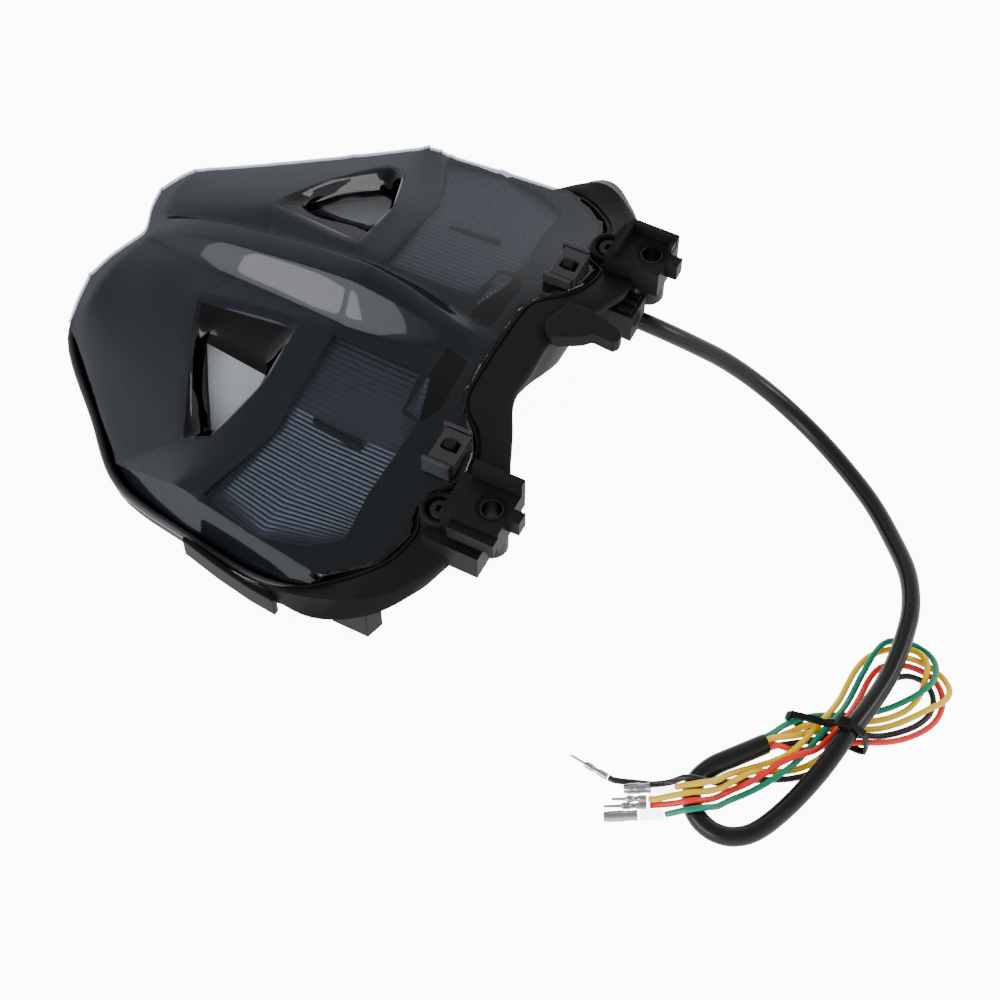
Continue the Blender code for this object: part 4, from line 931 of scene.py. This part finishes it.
# The rolled lip that runs round the rear and the sides of the lens and covers the housing's edge.
lip = ring_skin("lens_lip", [
    rimmed(-0.6, -4, -1.2, 0.2), rimmed(-0.6, -3.4, -1.2, 1.4), rimmed(-0.5, -3.2, -0.5, 2.1),
    rimmed(-0.1, -3.2, 0.5, 2.2), rimmed(0.1, -3.4, 1.3, 1.5), rimmed(0.1, -3.8, 1.5, 0.2),
    rimmed(0.1, -4.2, 1.2, -1.0), rimmed(-0.2, -4.4, 0.9, -1.3), rimmed(-0.6, -4.2, -1.2, -1.1),
    rimmed(-0.6, -4, -1.2, 0.2),
], SMOKED_EDGE, close=False)
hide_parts("lens")

LUG_X, LUG_Y, LUG_Z = 59.0, 84.0, 68.0
LUG_IN, LUG_OUT = LUG_X - 8.4, LUG_X + 8.2
LUG_FRONT = 90.4
# Corner pairs of the boxes that make up a lug: plate, nub and foot on both sides, then the
# stop and ledge of the left lug, and the stop, rear wall and lip of the right one.
LUG_SPANS = [
    ((LUG_IN, 70, 57.5), (LUG_OUT, LUG_FRONT, LUG_Z)),
    ((LUG_X - 2.5, 90, 62), (LUG_X + 2, 94.6, LUG_Z + 0.6)),
    ((LUG_IN + 5, 66, 47.5), (LUG_OUT + 5.5, 86, 58)),
]
LEFT_SPANS = [
    ((LUG_IN - 2.2, 73, 60), (LUG_IN + 0.4, LUG_FRONT, LUG_Z + 5.8)),
    ((LUG_OUT - 1.5, 74, 60.5), (LUG_OUT + 3.4, LUG_FRONT, LUG_Z - 2.2)),
]
RIGHT_SPANS = [
    ((LUG_OUT - 1.8, 73, 60), (LUG_OUT + 0.2, LUG_FRONT, LUG_Z + 3.8)),
    ((LUG_IN + 1, 72.4, 60), (LUG_OUT - 1, 74.2, LUG_Z + 3.8)),
    ((LUG_OUT - 6, 88.8, 66), (LUG_OUT - 1, 90.2, LUG_Z + 3.4)),
]
BORE_PROFILE = [(0, 40), (4.3, 40), (4.3, 80), (0, 80)]
COUNTERBORE_PROFILE = [(0, 67.3), (5.4, 67.3), (5.4, 80), (0, 80)]
COLLAR_PROFILE = [(3.4, 57.6), (5.4, 57.6), (5.4, 47), (5, 46.4), (3.4, 46.4), (3.4, 57.6)]
BOSS_X, BOSS_Y = 61.7, 66.9
BOSS_PROFILE = [
    (6.6, 44), (6.6, 59.4), (6.0, 60), (5.3, 60), (4.7, 59.5), (4.7, 56.4), (1.9, 56.4), (1.9, 46),
]
FIN = [(101.5, 26), (100.6, 16), (98.2, 2), (94.8, -13), (93.6, -13.6),
       (92.9, -12.4), (96.2, 2.4), (98.4, 14), (98.4, 17), (99, 26)]
TAB = [(77.5, 34), (84.5, 36), (84.5, 50), (77.5, 52)]
ARM = [
    (-12.6, 71), (-15.4, 76), (-17, 78.6), (-19.6, 81), (-19, 88.6), (-21, 90),
    (-23.6, 89.8), (-25.3, 87.5), (-28.5, 76), (-28, 68), (-17, 64.5), (-12.6, 67),
]
HOOK_X, SNAP_X = 42.7, 43.2
SNAP_HALF = 6.6
PRONGS = {"in": (-8.2, -6.9), "out": (6.9, 8.2)}


def lug(name, side):
    """One mounting lug with its bore and the collar under it."""
    body = None
    for low, high in LUG_SPANS + (LEFT_SPANS if side > 0 else RIGHT_SPANS):
        left, right = sorted((side * low[0], side * high[0]))
        bm = box_mesh((left, *low[1:]), (right, *high[1:]))
        piece = add_object(name if body is None else "lug_tool", bm, HOUSING, angle=60)
        if body is None:
            body = piece
        else:
            boolean(body, piece, 'UNION')
    centre = (side * LUG_X, LUG_Y)
    boolean(body, turned("lug_bore_tool", centre, BORE_PROFILE, HOUSING), 'DIFFERENCE')
    boolean(body, turned("lug_face_tool", centre, COUNTERBORE_PROFILE, HOUSING), 'DIFFERENCE')
    bevel(body, 0.5, 3, 40)
    collar = turned(name + "_collar", centre, COLLAR_PROFILE, HOUSING)
    housing_piece(body)
    housing_piece(collar)


for label, side in SIDES:
    lug("lug_" + label, side)
    housing_piece(turned("boss_" + label, (side * BOSS_X, BOSS_Y), BOSS_PROFILE, HOUSING))
for label, side in SIDES:
    housing_piece(prism("fin_" + label, sided(FIN, side), 21, 30, HOUSING, 0.5))
    housing_piece(prism("tab_" + label, sided(TAB, side), 0, 40, HOUSING, 0.5))
    x = side * HOOK_X
    hook = block("hook_" + label, (x - 1.5, 58.6, 40), (x + 1.5, 62.2, 67.6), HOUSING, 0.4)
housing_piece(prism("arm", ARM, 60.4, 66.5, HOUSING, 0.8))
housing_piece(block("bay", (-34, -33, 0), (34, 42, 18), HOUSING, 1.2))


def snap_loop(label, side):
    """A loop of the lens round one hook of the housing, with a prong on each side."""
    x = side * SNAP_X
    snap = block("snap_" + label, (x - SNAP_HALF, 56, 59.6), (x + SNAP_HALF, 65.2, 66.5), SMOKED_EDGE, 0)
    hook_x = side * HOOK_X
    opening = box_mesh((hook_x - 2.1, 57.9, 50), (hook_x + 2.1, 63.7, 70))
    boolean(snap, add_object("snap_tool", opening, SMOKED_EDGE), 'DIFFERENCE')
    bevel(snap, 0.5, 3, 40)
    for place, (low, high) in PRONGS.items():
        prong = block(f"snap_prong_{label}_{place}", (x + low, 54.5, 59.4), (x + high, 64.6, 66.9),
                      SMOKED_EDGE, 0.35)


for label, side in SIDES:
    snap_loop(label, side)


# ---------------------------------------------------------------- carried nodes

# What each carried node is painted with, by the start of its name, and the rounding of its edges.
PAINT = [
    ("turn_led", DIODE, 0), ("brake_led", DIODE, 0), ("board_screw", TIN, 0), ("boss_screw", STEEL, 0),
    # The right diffuser takes the darker copy of the frost panel, a painted shade.
    ("lug_bush", STEEL, 0), ("window_diffuser_left", FROST, 0.2), ("window_diffuser_right", FROST_SHADED, 0.2),
    ("capacitor", CHIP, 0.2), ("coil", CHIP, 0.2), ("regulator", CHIP, 0.2), ("led_board", BOARD, 0.1),
    ("lens_seal", RUBBER, 0), ("cable_gland", RUBBER, 0.5), ("cable_tie", TIE, 0.3),
]


def repaint(obj, mat, width):
    """Give a carried node one material and, with a width, rounded edges."""
    for slot in obj.material_slots:
        slot.material = mat
    if not obj.material_slots:
        obj.data.materials.append(mat)
    if width:
        bevel(obj, width, 2, 40)


for start, mat, width in PAINT:
    for node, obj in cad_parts.items():
        if node.startswith(start):
            repaint(obj, mat, width)
